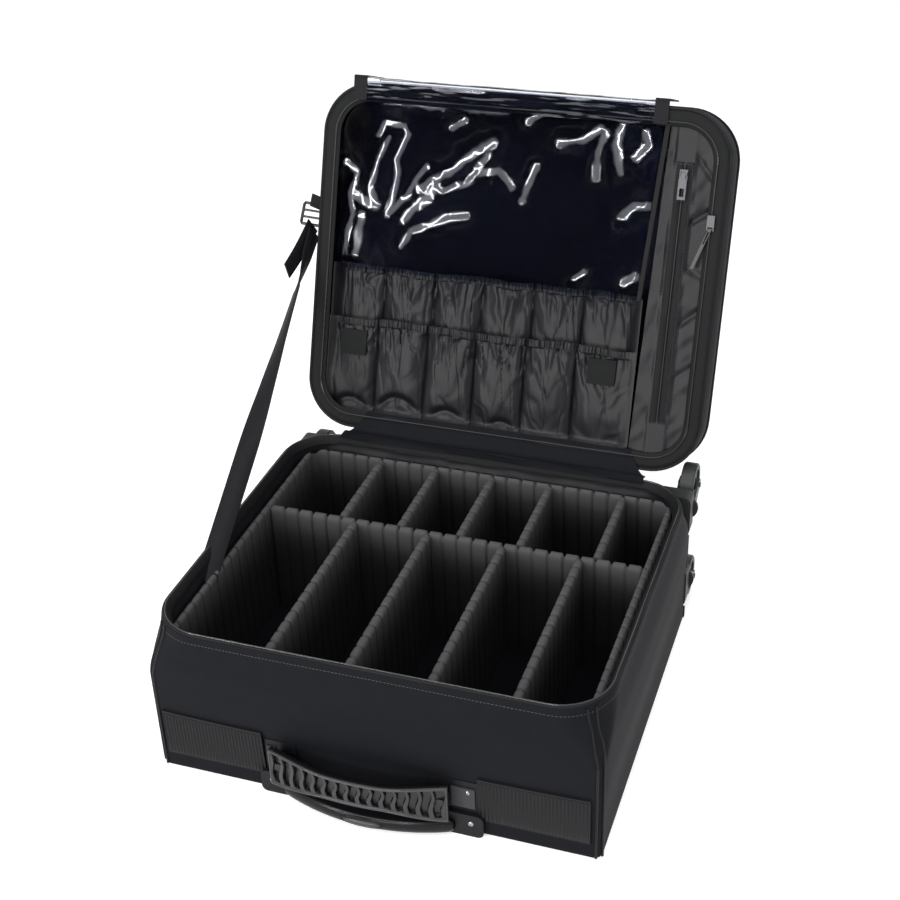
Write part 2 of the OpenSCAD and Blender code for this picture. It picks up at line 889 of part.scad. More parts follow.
module upper_pockets() {
    color([0.16, 0.16, 0.18])
        opened() {
            gathered(34, upper_hem, seams, lid_z + seam_d, lid_z + upper_d);
            pocket_back(seam_x0, seam_x1, 34, upper_hem, lid_z + seam_d);
        }
}

module lower_pockets() {
    x0 = seam_x0 - 1.2;
    x1 = seam_x1 + 1.2;
    color([0.16, 0.16, 0.18])
        opened() {
            gathered(24, lower_hem, concat([x0], [for (i = [1 : 5]) seams[i]], [x1]),
                lid_z + lower_seam_d, lid_z + lower_d);
            pocket_back(x0, x1, 24, lower_hem, lid_z + lower_seam_d);
        }
}

// hook squares sewn to the first and the last lower pocket
module hook_patches() {
    z = lid_z + lower_d;
    color([0.05, 0.05, 0.05])
        opened() {
            lid_plate(seams[0] + 8, seams[1] - 10, lower_hem - 39, lower_hem - 13, z - 1.2, z);
            lid_plate(seams[5] + 14, seams[6] - 16, lower_hem - 37, lower_hem - 11, z - 1.2, z);
        }
}

module pocket_zip_tape() {
    color([0.1, 0.1, 0.11])
        opened() {
            lid_plate(zip_x - 9, zip_x + 9, rim_r + 2, zip_top, lid_z + 2.2, lid_z + 3);
            lid_plate(zip_x - 0.8, zip_x + 0.8, rim_r + 2, zip_top, lid_z + 1.4, lid_z + 2.2);
        }
}

// a zip slider's pull turns on a pin between two ears
module ears(x, h, z, t) {
    difference() {
        for (s = [-1, 1])
            lid_plate(x + s * 3.1 - 0.5, x + s * 3.1 + 0.5, h - 1.8, h + 1.8, z - t, z + t);
        rod_x(x - 5, x + 5, hl - h, z, 0.6 + play);
    }
}

module pocket_slider() {
    color([0.7, 0.7, 0.72])
        opened() {
            difference() {
                lid_plate(zip_x - 4, zip_x + 4, zip_top - 17, zip_top - 5, lid_z - 0.6, lid_z + 2.1);
                lid_plate(zip_x - 0.9, zip_x + 0.9, zip_top - 18, zip_top - 4, lid_z + 1.3, lid_z + 3);
            }
            ears(zip_x, zip_top - 9, lid_z - 1.9, 1.3);
        }
}

module pocket_pull() {
    color([0.7, 0.7, 0.72])
        opened()
            difference() {
                union() {
                    rod_x(zip_x - 3.6, zip_x + 3.6, hl - zip_top + 9, lid_z - 1.9, 0.6);
                    lid_plate(zip_x - 2.2, zip_x + 2.2, zip_top - 14, zip_top - 8, lid_z - 2.5, lid_z - 1.3);
                    lid_plate(zip_x - 4, zip_x + 4, zip_top - 34, zip_top - 14, lid_z - 2.5, lid_z - 1.3);
                }
                lid_plate(zip_x - 2.2, zip_x + 2.2, zip_top - 31, zip_top - 23, lid_z - 4, lid_z);
            }
}

module main_slider() {
    color([0.7, 0.7, 0.72])
        opened() {
            difference() {
                lid_plate(main_x - 3.6, main_x + 3.6, slider_h + 1.8, slider_h + 13, lid_z - 3.2, lid_z - 0.1);
                lid_plate(main_x - 0.7, main_x + 0.7, slider_h, slider_h + 14, lid_z - 1, lid_z + 1);
            }
            ears(main_x, slider_h, lid_z - 1.9, 1.3);
        }
}

// a cord that hangs from the slider and leans inward
module main_pull() {
    color([0.12, 0.12, 0.12])
        opened()
            translate([main_x, hl - slider_h, lid_z - 1.9]) {
                rod_x(-3.6, 3.6, 0, 0, 0.6);
                rod_x(-2.3, 2.3, 0, 0, 0.9);
                rotate([0, 0, 19])
                    difference() {
                        block([-1.6, 0, -1], [1.6, pull_l, 0.8]);
                        block([-0.8, 3, -2], [0.8, 16, 2]);
                    }
            }
}

// Stay strap: a straight run from the buckle at the lid's left rim down into the gap
// beside the insert
strap_low = [-hx + 11.3, -hl + 100.7, base_h - 18.5];
strap_high = on_lid(-hx - 4, loop_h - 40.3, -28);
buckle_low = on_lid(-hx - 10, loop_h - 37.8, -26.8);
buckle_high = on_lid(-hx - 3.5, loop_h - 5.3, -3.5);
tail_low = on_lid(-hx - 14, loop_h - 71.6, -49.6);
tail_high = on_lid(-hx - 12.6, loop_h - 37.8, -26.8);

// a point in the open lid: x from the middle, h up from the hinge edge, d behind the mouth
function on_lid(x, h, d) =
    let (y = hl - h - pin_y, z = lid_z + d - pin_z)
    [x, pin_y + y * cos(open_angle) + z * sin(open_angle), pin_z - y * sin(open_angle) + z * cos(open_angle)];

// a frame whose Y axis runs from low to high and whose X axis stays level
module along(low, high) {
    d = high - low;
    translate(low)
        rotate([atan2(d[2], d[1]), 0, 0])
            rotate([0, 0, atan2(-d[0], norm([d[1], d[2]]))])
                children();
}

module stay_strap() {
    color([0.1, 0.1, 0.1])
        along(strap_low, strap_high)
            block([-0.6, 0, -10], [0.6, norm(strap_high - strap_low) - 2.5, 10]);
}

// the loop on the lid's wall, the ladder buckle and the loose tail
module strap_hardware() {
    color([0.1, 0.1, 0.1]) {
        along(buckle_low, buckle_high)
            difference() {
                block([-2.4, 0, -13], [2.4, 38, 13]);
                block([-4, 5, -10.4], [4, 11, 10.4]);
                block([-4, 16, -10.4], [4, 22, 10.4]);
                block([-4, 28, -10.4], [4, 33, 10.4]);
            }
        along(tail_low, tail_high)
            block([-0.6, 0, -10], [0.6, 44, 10]);
        opened()
            lid_plate(-hx - 1.2, -hx, loop_h - 10, loop_h + 10, lid_z - 5, lid_z + 24);
    }
}

// Clear flap, folded back over the lid's top edge. Its skirt lies over the lid's wall and
// the sheet hangs straight down behind.
fold_y = lid_cy - lid_l / 2 - 6;
fold_z = lid_z - 1.6;

module flap_skirt() {
    color([0.06, 0.06, 0.06])
        opened()
            block([flap_x0, fold_y - 0.4, fold_z - 0.4], [flap_x1, fold_y + 0.4, fold_z + skirt_l - 0.7]);
}

module flap_sheet() {
    color([0.75, 0.8, 0.82, 0.4])
        opened()
            translate([0, fold_y, fold_z + skirt_l])
                rotate([open_angle - 90, 0, 0])
                    block([flap_x0, 0.4, -0.4], [flap_x1, flap_l, 0.4]);
}

base_shell();
side_boards();
back_board();
base_lining();
base_piping();
base_zip_tape();
hinge_strip();
ribbed_bands();
trolley_mounts();
face_fasteners();
trolley_sleeves();
handle_end_plates();
webbing_tabs();
caster_housings();
insert_walls();
insert_floor();
stay_strap();
mid_tubes();
inner_tubes();
trolley_grip();
button_spring();
trolley_button();
release_rods();
handle_grip();
cross_divider();
front_divider_1();
front_divider_2();
front_divider_3();
front_divider_4();
rear_divider_1();
rear_divider_2();
rear_divider_3();
rear_divider_4();
rear_divider_5();
lid_shell();
lid_board();
lid_lining();
lid_piping();
lid_zip_tape();
lid_hinge_leaf();
clear_window();
upper_pockets();
lower_pockets();
hook_patches();
pocket_zip_tape();
strap_hardware();
pocket_slider();
pocket_pull();
main_slider();
main_pull();
caster_fork_1();
caster_fork_2();
caster_fork_3();
caster_fork_4();
wheel_1();
wheel_2();
wheel_3();
wheel_4();
flap_skirt();
flap_sheet();
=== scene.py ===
# Rolling makeup case, dressed over its CAD frame. Lengths are in millimetres until a mesh is made.
import math

import bmesh
import bpy
import numpy as np
from mathutils import Matrix, Vector


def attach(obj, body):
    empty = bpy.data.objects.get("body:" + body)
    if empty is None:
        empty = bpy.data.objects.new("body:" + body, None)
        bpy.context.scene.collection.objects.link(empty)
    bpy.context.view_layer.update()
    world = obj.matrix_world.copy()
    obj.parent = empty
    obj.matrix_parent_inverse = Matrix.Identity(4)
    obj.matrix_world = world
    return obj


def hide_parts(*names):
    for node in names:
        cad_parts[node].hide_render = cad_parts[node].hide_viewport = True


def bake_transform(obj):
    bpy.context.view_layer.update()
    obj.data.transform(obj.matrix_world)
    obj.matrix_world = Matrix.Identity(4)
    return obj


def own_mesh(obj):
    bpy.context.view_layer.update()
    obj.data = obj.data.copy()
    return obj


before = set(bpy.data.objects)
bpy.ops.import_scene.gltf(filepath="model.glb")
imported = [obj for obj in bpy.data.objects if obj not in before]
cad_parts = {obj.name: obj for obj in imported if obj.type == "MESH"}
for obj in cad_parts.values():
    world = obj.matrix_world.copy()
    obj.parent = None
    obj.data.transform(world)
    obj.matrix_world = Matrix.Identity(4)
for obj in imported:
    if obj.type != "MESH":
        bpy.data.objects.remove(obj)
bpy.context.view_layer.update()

# Tub shell: one black woven skin over boards. The upright corners are tight near the back panel
# and open out to the rim's wide radius, and the walls swell a little between their seams.
TUB_X, TUB_Y, RIM_Z = 210.0, 179.0, 160.0
FOOT_R, RIM_R, BEND_Z = 8.0, 50.0, 103.0
FRONT_SWELL, SIDE_SWELL, REAR_SWELL = 6.0, 5.0, 1.6
WALL, FOOT_FILLET = 3.2, 3.0


class Value:
    """A shader socket that can be added, subtracted, multiplied and raised to a power."""

    def __init__(self, tree, socket):
        self.tree = tree
        self.socket = socket

    def math(self, operation, *others):
        node = self.tree.nodes.new("ShaderNodeMath")
        node.operation = operation
        for slot, item in zip(node.inputs, (self, *others)):
            feed(self.tree, slot, item)
        return Value(self.tree, node.outputs[0])

    def __add__(self, other):
        return self.math("ADD", other)

    __radd__ = __add__

    def __mul__(self, other):
        return self.math("MULTIPLY", other)

    __rmul__ = __mul__

    def __sub__(self, other):
        return self.math("SUBTRACT", other)

    def __rsub__(self, other):
        return (self * -1.0) + other

    def __pow__(self, other):
        return self.math("POWER", other)


def feed(tree, slot, item):
    """Links a Value to a socket, or sets the socket's own number or colour."""
    if isinstance(item, Value):
        tree.links.new(item.socket, slot)
    else:
        slot.default_value = item


class Nodes:
    """A node tree, with one method for every node that isn't maths on numbers."""

    def __init__(self, tree):
        self.tree = tree

    def node(self, kind, settings=None, inputs=None, output=0):
        made = self.tree.nodes.new(kind)
        for key, item in (settings or {}).items():
            setattr(made, key, item)
        for key, item in (inputs or {}).items():
            feed(self.tree, made.inputs[key], item)
        return Value(self.tree, made.outputs[output])


class Finish(Nodes):
    """A material on one Principled shader."""

    def __init__(self, name, colour, roughness, **more):
        self.material = bpy.data.materials.new(name)
        self.material.use_nodes = True
        super().__init__(self.material.node_tree)
        self.shader = self.tree.nodes["Principled BSDF"]
        self.set("Base Color", (*colour, 1.0))
        self.set("Roughness", roughness)
        for key, item in more.items():
            self.set(key.replace("_", " "), item)

    def set(self, name, item):
        feed(self.tree, self.shader.inputs[name], item)
        return self

    def place(self):
        return self.node("ShaderNodeTexCoord", output="Object")

    def noise(self, scale, detail=3.0, stretch=(1.0, 1.0, 1.0)):
        where = self.node("ShaderNodeVectorMath", {"operation": "MULTIPLY"},
                          {0: self.place(), 1: stretch})
        return self.node("ShaderNodeTexNoise", None, {"Vector": where, "Scale": scale, "Detail": detail})

    def bump(self, height, strength, distance):
        made = self.node("ShaderNodeBump", None,
                         {"Strength": strength, "Distance": distance, "Height": height})
        return self.set("Normal", made)

    # Mixes two base colours by a factor: random tone on some finishes, painted shade and painted light on
    # others.
    def mottle_and_painted_shade(self, dark, light, factor):
        made = self.node("ShaderNodeMix", {"data_type": "RGBA"},
                         {"Factor": factor, "A": (*dark, 1.0), "B": (*light, 1.0)}, output=2)
        return self.set("Base Color", made)


def smooth(t):
    """An even step from 0 to 1."""
    t = np.clip(t, 0.0, 1.0)
    return t * t * (3.0 - 2.0 * t)


def lattice(x, y, seed=0.0):
    """Smooth value noise from -1 to 1."""
    x, y = np.broadcast_arrays(np.asarray(x, float), np.asarray(y, float))
    xi, yi = np.floor(x), np.floor(y)
    sx, sy = smooth(x - xi), smooth(y - yi)

    def corner(a, b):
        return 2.0 * np.mod(np.sin(a * 127.1 + b * 311.7 + seed * 74.7) * 43758.5453, 1.0) - 1.0

    low = corner(xi, yi) * (1 - sx) + corner(xi + 1, yi) * sx
    high = corner(xi, yi + 1) * (1 - sx) + corner(xi + 1, yi + 1) * sx
    return low * (1 - sy) + high * sy


def outline(half_x, half_y, radius, side_steps=44, corner_steps=14):
    """Points and outward normals round a rounded rectangle, starting on the +X side."""
    points, normals = [], []
    for q in range(4):
        turn = math.radians(90 * q)
        c, s = math.cos(turn), math.sin(turn)
        far, wide = (half_x, half_y) if q % 2 == 0 else (half_y, half_x)
        for i in range(side_steps):
            t = -1 + 2 * i / side_steps
            u, v = far, t * (wide - radius)
            points.append((u * c - v * s, u * s + v * c))
            normals.append((c, s))
        for i in range(corner_steps):
            a = math.radians(90 * i / corner_steps)
            u = far - radius + radius * math.cos(a)
            v = wide - radius + radius * math.sin(a)
            points.append((u * c - v * s, u * s + v * c))
            normals.append((math.cos(a + turn), math.sin(a + turn)))
    return np.array(points), np.array(normals)


def build(name, points, faces, finish, body, slot=None, crease=40.0):
    """A mesh object from points in millimetres, with its finish, riding on a body."""
    mesh = bpy.data.meshes.new(name)
    mesh.from_pydata((np.asarray(points, float) / 1000.0).tolist(), [], faces)
    work = bmesh.new()
    work.from_mesh(mesh)
    bmesh.ops.remove_doubles(work, verts=work.verts, dist=1e-6)
    bmesh.ops.recalc_face_normals(work, faces=work.faces)
    work.to_mesh(mesh)
    work.free()
    mesh.polygons.foreach_set("use_smooth", [True] * len(mesh.polygons))
    mesh.set_sharp_from_angle(angle=math.radians(crease))
    mesh.materials.append(finish.material)
    made = bpy.data.objects.new(name, mesh)
    bpy.context.scene.collection.objects.link(made)
    if body:
        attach(made, body)
    return made


def skin(rows, along=False, caps=True):
    """Points and faces over rings of points, with both ends closed, or joined end to end if along."""
    rows = np.asarray(rows, float)
    count, width = rows.shape[:2]
    faces = []
    for i in range(count if along else count - 1):
        k = (i + 1) % count
        for j in range(width):
            m = (j + 1) % width
            faces.append((i * width + j, i * width + m, k * width + m, k * width + j))
    if caps and not along:
        faces.append(tuple(range(width)))
        faces.append(tuple(range((count - 1) * width, count * width)))
    return rows.reshape(-1, 3), faces


def joined(parts):
    """Several (points, faces) as one."""
    points, faces, count = [], [], 0
    for p, f in parts:
        points.append(np.asarray(p, float))
        faces.extend([tuple(i + count for i in face) for face in f])
        count += len(p)
    return np.vstack(points), faces


def tube(path, radius, sides=8, closed=False):
    """Points and faces of a round cord along a path."""
    path = np.asarray(path, float)
    radius = np.broadcast_to(radius, len(path))
    ahead = np.roll(path, -1, 0) - np.roll(path, 1, 0)
    if not closed:
        ahead[0] = path[1] - path[0]
        ahead[-1] = path[-1] - path[-2]
    ahead /= np.linalg.norm(ahead, axis=1)[:, None]
    side = np.cross(ahead, (0.0, 0.0, 1.0))
    weak = np.linalg.norm(side, axis=1) < 0.05
    side[weak] = np.cross(ahead[weak], (0.0, 1.0, 0.0))
    side /= np.linalg.norm(side, axis=1)[:, None]
    for i in range(1, len(side)):
        if side[i] @ side[i - 1] < 0:
            side[i] *= -1
    other = np.cross(ahead, side)
    a = np.linspace(0, 2 * math.pi, sides, endpoint=False)
    rows = []
    for k in range(len(path)):
        ring = (np.cos(a)[:, None] * side[k] + np.sin(a)[:, None] * other[k]) * radius[k]
        rows.append(path[k] + ring)
    return skin(rows, along=closed, caps=not closed)


def tub_radius(z):
    """Radius of the upright corners at a height."""
    return FOOT_R + (RIM_R - FOOT_R) * smooth((z - BEND_Z) / (RIM_Z - BEND_Z))


def wall_swell(x, y, normal, z):
    """How far the tub's skin stands out of its box."""
    rise = smooth((z - 34) / 60.0) * smooth((157 - z) / 40.0)
    front = np.clip(1 - (x / (TUB_X - 4)) ** 2, 0, 1) ** 0.55 * normal[:, 1] ** 2
    side = np.clip(1 - (y / (TUB_Y - 4)) ** 2, 0, 1) ** 0.55 * normal[:, 0] ** 2
    size = np.where(normal[:, 1] < 0, FRONT_SWELL, REAR_SWELL)
    held = 1 - 0.75 * smooth((118 - np.abs(x)) / 20) * smooth((70 - z) / 14) * (normal[:, 1] < -0.5)
    return rise * (front * size * held + side * SIDE_SWELL)


def tub_ring(z, inset=0.0, loose=1.0):
    """One ring round the tub at a height, set in from the skin; loose is its share of the swell."""
    radius = max(tub_radius(z) - inset, 1.5)
    points, normals = outline(TUB_X - inset, TUB_Y - inset, radius)
    x, y = points.T
    out = wall_swell(x, y, normals, z) * loose
    out += 0.4 * loose * lattice(x / 55 + normals[:, 0] * 7, y / 55 + z / 31) * smooth((z - 20) / 30)
    points = points + normals * out[:, None]
    return np.column_stack([points, np.full(len(points), z)])


fabric = Finish("fabric_black", (0.0060, 0.0064, 0.0082), 0.7, Specular_IOR_Level=0.08)
weave = fabric.noise(900.0, 2.0, (1.0, 1.0, 0.35))
fabric.bump(weave, 0.35, 0.0004)
fabric.mottle_and_painted_shade((0.0052, 0.0055, 0.0072), (0.0074, 0.0078, 0.0098), fabric.noise(60.0, 4.0))

rows = []
for angle in np.linspace(0, math.pi / 2, 6):
    rows.append(tub_ring(FOOT_FILLET * (1 - math.cos(angle)), FOOT_FILLET * (1 - math.sin(angle)), 0.0))
for z in np.linspace(9, 157.5, 31):
    rows.append(tub_ring(z))
for z, inset, loose in ((159.3, 0.5, 1.0), (RIM_Z, 1.6, 1.0), (159.6, 2.6, 1.0), (156.0, WALL, 1.0),
                        (120.0, WALL, 0.6), (10.0, WALL, 0.0)):
    rows.append(tub_ring(z, inset, loose))
shell = build("tub_shell", *skin(rows), fabric, "base", "fabric_black")
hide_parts("base_shell")

# Boards: dark grey-brown fibreboard behind the tub's walls, under the trolley and in the lid. They
# keep their CAD solids, because they are out of sight between the skin and the lining.
board = Finish("board", (0.10, 0.085, 0.07), 0.85)
board.mottle_and_painted_shade((0.08, 0.068, 0.055), (0.12, 0.10, 0.085), board.noise(40.0, 5.0))


def dress(node, finish, bevel=0.0):
    """Gives a carried-over CAD node its finish, and rounds its edges."""
    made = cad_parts[node]
    made.data.materials.clear()
    made.data.materials.append(finish.material)
    if bevel:
        edge = made.modifiers.new("edge", "BEVEL")
        edge.width = bevel / 1000.0
        edge.segments = 3
        edge.limit_method = "ANGLE"
        edge.angle_limit = math.radians(35)
    return made


for node in ("side_boards", "back_board", "lid_board"):
    dress(node, board)

# Corner piping: two black welt cords sewn in each upright corner. They part where the corner opens
# out and run into the rim. At the far corners they show only below and between the casters.
CORD_R, CORD_OUT = 1.25, 0.6
CORD_LOW, CORD_TOP, PART_LOW, PART_TOP = 2.0, 157.0, 100.0, 140.0
CORD_ANGLES = ((22, 40), (68, 50))
FAR_RUNS = ((0.0, 17.0), (63.0, 105.0))


def cord_path(sx, sy, foot_angle, rim_angle):
    """One cord up a corner; its angle round the corner changes where the cords part."""
    path = []
    for z in np.linspace(CORD_LOW, CORD_TOP, 60):
        turn = float(smooth((z - PART_LOW) / (PART_TOP - PART_LOW)))
        a = math.radians(foot_angle + (rim_angle - foot_angle) * turn)
        r = tub_radius(z)
        x = TUB_X - r + (r + CORD_OUT) * math.cos(a)
        y = TUB_Y - r + (r + CORD_OUT) * math.sin(a)
        path.append((sx * x, sy * y, z))
    return path


parts = []
for sx in (-1, 1):
    for sy in (-1, 1):
        for foot_angle, rim_angle in CORD_ANGLES:
            runs = [cord_path(sx, sy, foot_angle, rim_angle)]
            if sy > 0:
                runs = [[p for p in runs[0] if low < p[2] < top] for low, top in FAR_RUNS]
            parts += [tube(run, CORD_R) for run in runs]
piping_finish = Finish("piping", (0.006, 0.006, 0.0078), 0.5, Specular_IOR_Level=0.15)
piping_finish.bump(piping_finish.noise(500.0), 0.2, 0.0003)
piping = build("corner_piping", *joined(parts), piping_finish, "base", "fabric_black")
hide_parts("base_piping")

# Rub bands: two moulded black plastic strips on the handle face. Fine upright ribs stand over a
# plain margin, and the strips follow the wall's swell that they are fixed flat on.
BAND_ENDS = ((-201, -101), (101, 201))
RIB_PITCH, RIB_LIFT, RIBS_LOW, RIBS_TOP = 3.3, 0.55, 20.5, 66.0
BAND_SECTION = ((17.6, -1), (18, 0.9), (20, 0.9), (20.6, 1.0), (65.6, 1.0), (66.2, 0.9), (66.9, 0.9),
                (67.2, 1.5), (68.6, 1.5), (69.2, -1))
plastic = Finish("moulded_black", (0.0075, 0.0075, 0.0087), 0.42, Specular_IOR_Level=0.15)
plastic.bump(plastic.noise(700.0, 2.0), 0.12, 0.0002)


def front_wall(x, z):
    """Y of the handle face's skin."""
    x = np.asarray(x, float)
    normal = np.tile((0.0, -1.0), (x.size, 1))
    out = wall_swell(x.ravel(), np.full(x.size, -TUB_Y), normal, z).reshape(x.shape)
    return -TUB_Y - out - 0.45


def ribbed(x0, x1):
    """Points and faces of one band between two places across the face."""
    xs = np.arange(x0, x1 + 0.01, 0.55)
    rib = np.clip(np.cos((xs - x0) * 2 * math.pi / RIB_PITCH) * 1.3, -1, 1) * RIB_LIFT
    rows = []
    for z, lift in BAND_SECTION:
        amount = RIB_LIFT + rib if RIBS_LOW < z < RIBS_TOP else 0.0 * rib
        y = front_wall(xs, z) - lift - amount
        rows.append(np.column_stack([xs, y, np.full(len(xs), z)]))
    rows = np.array(rows)
    back = rows[::-1].copy()
    back[:, :, 1] = -TUB_Y + 0.3
    ends = np.concatenate([rows, back[:1], back[-1:]])
    return skin(np.transpose(ends, (1, 0, 2)))


made = joined([ribbed(x0, x1) for x0, x1 in BAND_ENDS])
bands = build("rub_bands", *made, plastic, "base", "moulded_black")
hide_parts("ribbed_bands")

# Rim: black zip tape folded over the tub's edge, its inner side turned down over the lining. Its
# coil lies on top, and a row of stitches holds it below the lip.
RIM_SECTION = ((1.0, 159.4), (1.5, 160.5), (2.4, 161.0), (3.8, 161.0), (5.4, 159.8), (7.4, 156.6),
               (8.6, 152.8), (8.0, 152.2), (5.8, 156.4), (3.0, 159.4))
TAPE_Z, COIL_INSET, COIL_Z, COIL_R, STITCH_Z = 159.0, 3.7, 161.0, 0.85, 152.5
STITCH_PITCH, STITCH_LENGTH = 3.4, 2.2
tape = Finish("zip_tape", (0.0085, 0.0088, 0.0095), 0.6, Specular_IOR_Level=0.12)
tape.bump(tape.noise(800.0, 2.0), 0.3, 0.0003)
rows = []
for inset, z in RIM_SECTION:
    ring = tub_ring(TAPE_Z, inset, 0.3)
    ring[:, 2] = z + 0.25 * lattice(ring[:, 0] / 24, ring[:, 1] / 24, 3)
    rows.append(ring)
rows = np.transpose(np.array(rows), (1, 0, 2))
rim = build("rim_tape", *skin(rows, along=True), tape, "base", "zip_tape")
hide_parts("base_zip_tape")


def even(path, step, closed=True):
    """The same path with points a step apart."""
    path = np.asarray(path, float)
    if closed:
        path = np.vstack([path, path[:1]])
    walk = np.concatenate([[0], np.cumsum(np.linalg.norm(np.diff(path, axis=0), axis=1))])
    count = max(3, int(walk[-1] / step))
    at = np.linspace(0, walk[-1], count, endpoint=not closed)
    return np.column_stack([np.interp(at, walk, path[:, k]) for k in range(3)])


coil_finish = Finish("zip_coil", (0.022, 0.022, 0.024), 0.25)


def coil(path, name, body, closed=True, radius=1.1):
    """A zip's coil along a path: a cord that swells at each turn."""
    path = even(path, 0.85, closed)
    size = np.where(np.arange(len(path)) % 2 == 0, radius, radius * 0.65)
    return build(name, *tube(path, size, 6, closed), coil_finish, body, "zip_tape")


ring = tub_ring(TAPE_Z, COIL_INSET, 0.3)
ring[:, 2] = COIL_Z
coil(ring, "rim_coil", "base", True, COIL_R)

thread = Finish("thread", (0.045, 0.045, 0.05), 0.6)


def stitches(path, name, body, radius=0.3):
    """A row of short stitches round a closed path."""
    path = even(path, STITCH_PITCH)
    ahead = np.roll(path, -1, 0) - path
    ahead /= np.maximum(np.linalg.norm(ahead, axis=1), 1e-6)[:, None]
    half = STITCH_LENGTH / 2
    parts = [tube([p - a * half, p, p + a * half], [radius * 0.6, radius, radius * 0.6], 5)
             for p, a in zip(path, ahead)]
    return build(name, *joined(parts), thread, body, "zip_tape")


stitches(tub_ring(STITCH_Z, -0.1), "rim_stitches", "base")

# Trolley hardware on the handle face: a black plastic plate and bracket round the tubes, held by two
# screws and two rivets. The tubes are drawn aluminium, and their lock has steel rods and a spring.
FACE_RIVETS = ((91.6, -182.0, 49.0, 2.3), (-94.0, -182.0, 49.0, 2.3),
               (94.5, -184.4, 15.5, 2.7), (-94.5, -184.4, 15.5, 2.7))
RIVET_HEAD = ((1.0, -2.5), (1.0, 0.2), (0.9, 0.7), (0.6, 1.1), (0.25, 1.25), (0.2, 0.6))
bright = Finish("bright_metal", (0.30, 0.30, 0.31), 0.3, Metallic=1.0)
alloy = Finish("tube_metal", (0.40, 0.40, 0.42), 0.32, Metallic=1.0)
alloy.set("Roughness", alloy.noise(300.0, 2.0, (1.0, 0.05, 1.0)) * 0.2 + 0.24)
spring_steel = Finish("spring_steel", (0.55, 0.55, 0.57), 0.3, Metallic=1.0)
parts = []
for x, y, z, r in FACE_RIVETS:
    a = np.linspace(0, 2 * math.pi, 20, endpoint=False)
    rows = []
    for part, lift in RIVET_HEAD:
        across, up = r * part * np.cos(a), r * part * np.sin(a)
        rows.append(np.column_stack([x + across, np.full(20, y - lift), z + up]))
    parts.append(skin(rows))
rivets = build("face_rivets", *joined(parts), bright, "base", "bright_metal")
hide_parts("face_fasteners")
dress("trolley_mounts", plastic, 1.2)
for node in ("trolley_sleeves", "mid_tubes", "inner_tubes"):
    dress(node, alloy)
for node in ("release_rods", "button_spring"):
    dress(node, spring_steel)

# Trolley grip: a bow of glossy black plastic with a rounded front and a raised ring round its button.
# It sits on the inner tubes and is open behind for the release bar.
GRIP_X, GRIP_OUT, GRIP_END, GRIP_BACK, TUBE_Z = 80.0, 28.0, 11.0, -186.5, 11.0
GRIP_FRONT_R, GRIP_BACK_R = 4.5, 1.5
RING_X, RING_Z, RING_R = 20.2, 4.7, 0.7
gloss = Finish("gloss_black", (0.005, 0.005, 0.006), 0.22, Specular_IOR_Level=0.18)


def grip_front(x):
    """Y of the grip's bowed front."""
    return -TUB_Y - GRIP_END - (GRIP_OUT - GRIP_END) * (1 - (x / GRIP_X) ** 2)


rows = []
for x in np.concatenate([[-80, -79.6, -78.5], np.linspace(-76.5, 76.5, 60), [78.5, 79.6, 80]]):
    end = min(1.0, (GRIP_X - abs(x)) / 6.0)
    end = math.sqrt(max(0.0, 1 - (1 - end) ** 2))
    front = grip_front(x)
    half = 3.2 + 3.8 * end
    waist = front + (GRIP_BACK - front) * 0.75
    ring = []
    for a in np.linspace(-math.pi / 2, math.pi / 2, 13):
        ring.append((x, front + GRIP_FRONT_R * (1 - math.cos(a)), TUBE_Z + half * math.sin(a)))
    ring.append((x, waist, TUBE_Z + half))
    for a in np.linspace(math.pi / 2, -math.pi / 2, 7):
        corner = (half - GRIP_BACK_R) * math.copysign(1, math.sin(a))
        ring.append((x, GRIP_BACK - GRIP_BACK_R * (1 - math.cos(a)),
                     TUBE_Z + corner + GRIP_BACK_R * math.sin(a)))
    ring.append((x, waist, TUBE_Z - half))
    rows.append(ring)
parts = [skin(rows)]
ring = []
for a in np.linspace(0, 2 * math.pi, 40, endpoint=False):
    x = RING_X * math.cos(a)
    ring.append((x, grip_front(x) + 0.2 + 0.9 * math.sin(a) ** 2, TUBE_Z + RING_Z * math.sin(a)))
parts.append(tube(ring, RING_R, 8, True))
grip = build("trolley_grip_skin", *joined(parts), gloss, "trolley_inner", "gloss_black", 50)
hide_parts("trolley_grip")

# Release button: a grey plastic lens in the middle of the grip's front. It is pushed into the grip,
# where its bar presses both rods.
BUTTON_X, BUTTON_HALF, BUTTON_BULGE, BUTTON_BACK = 18.4, 3.4, 2.8, 6.0
button_finish = Finish("button_grey", (0.022, 0.022, 0.023), 0.3, Specular_IOR_Level=0.4)
rows = []
for x in np.linspace(-BUTTON_X, BUTTON_X, 25):
    share = math.sqrt(max(0.0, 1 - (x / BUTTON_X) ** 2))
    half = BUTTON_HALF * share + 0.05
    front = grip_front(x)
    ring = []
    for a in np.linspace(-math.pi / 2, math.pi / 2, 9):
        out = (BUTTON_BULGE * share + 0.6) * math.cos(a)
        ring.append((x, front + 1.0 - out, TUBE_Z + half * math.sin(a)))
    ring.append((x, front + BUTTON_BACK, TUBE_Z + half))
    ring.append((x, front + BUTTON_BACK, TUBE_Z - half))
    rows.append(ring)
button = build("release_button", *skin(rows), button_finish, "button", "moulded_black")
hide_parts("trolley_button")
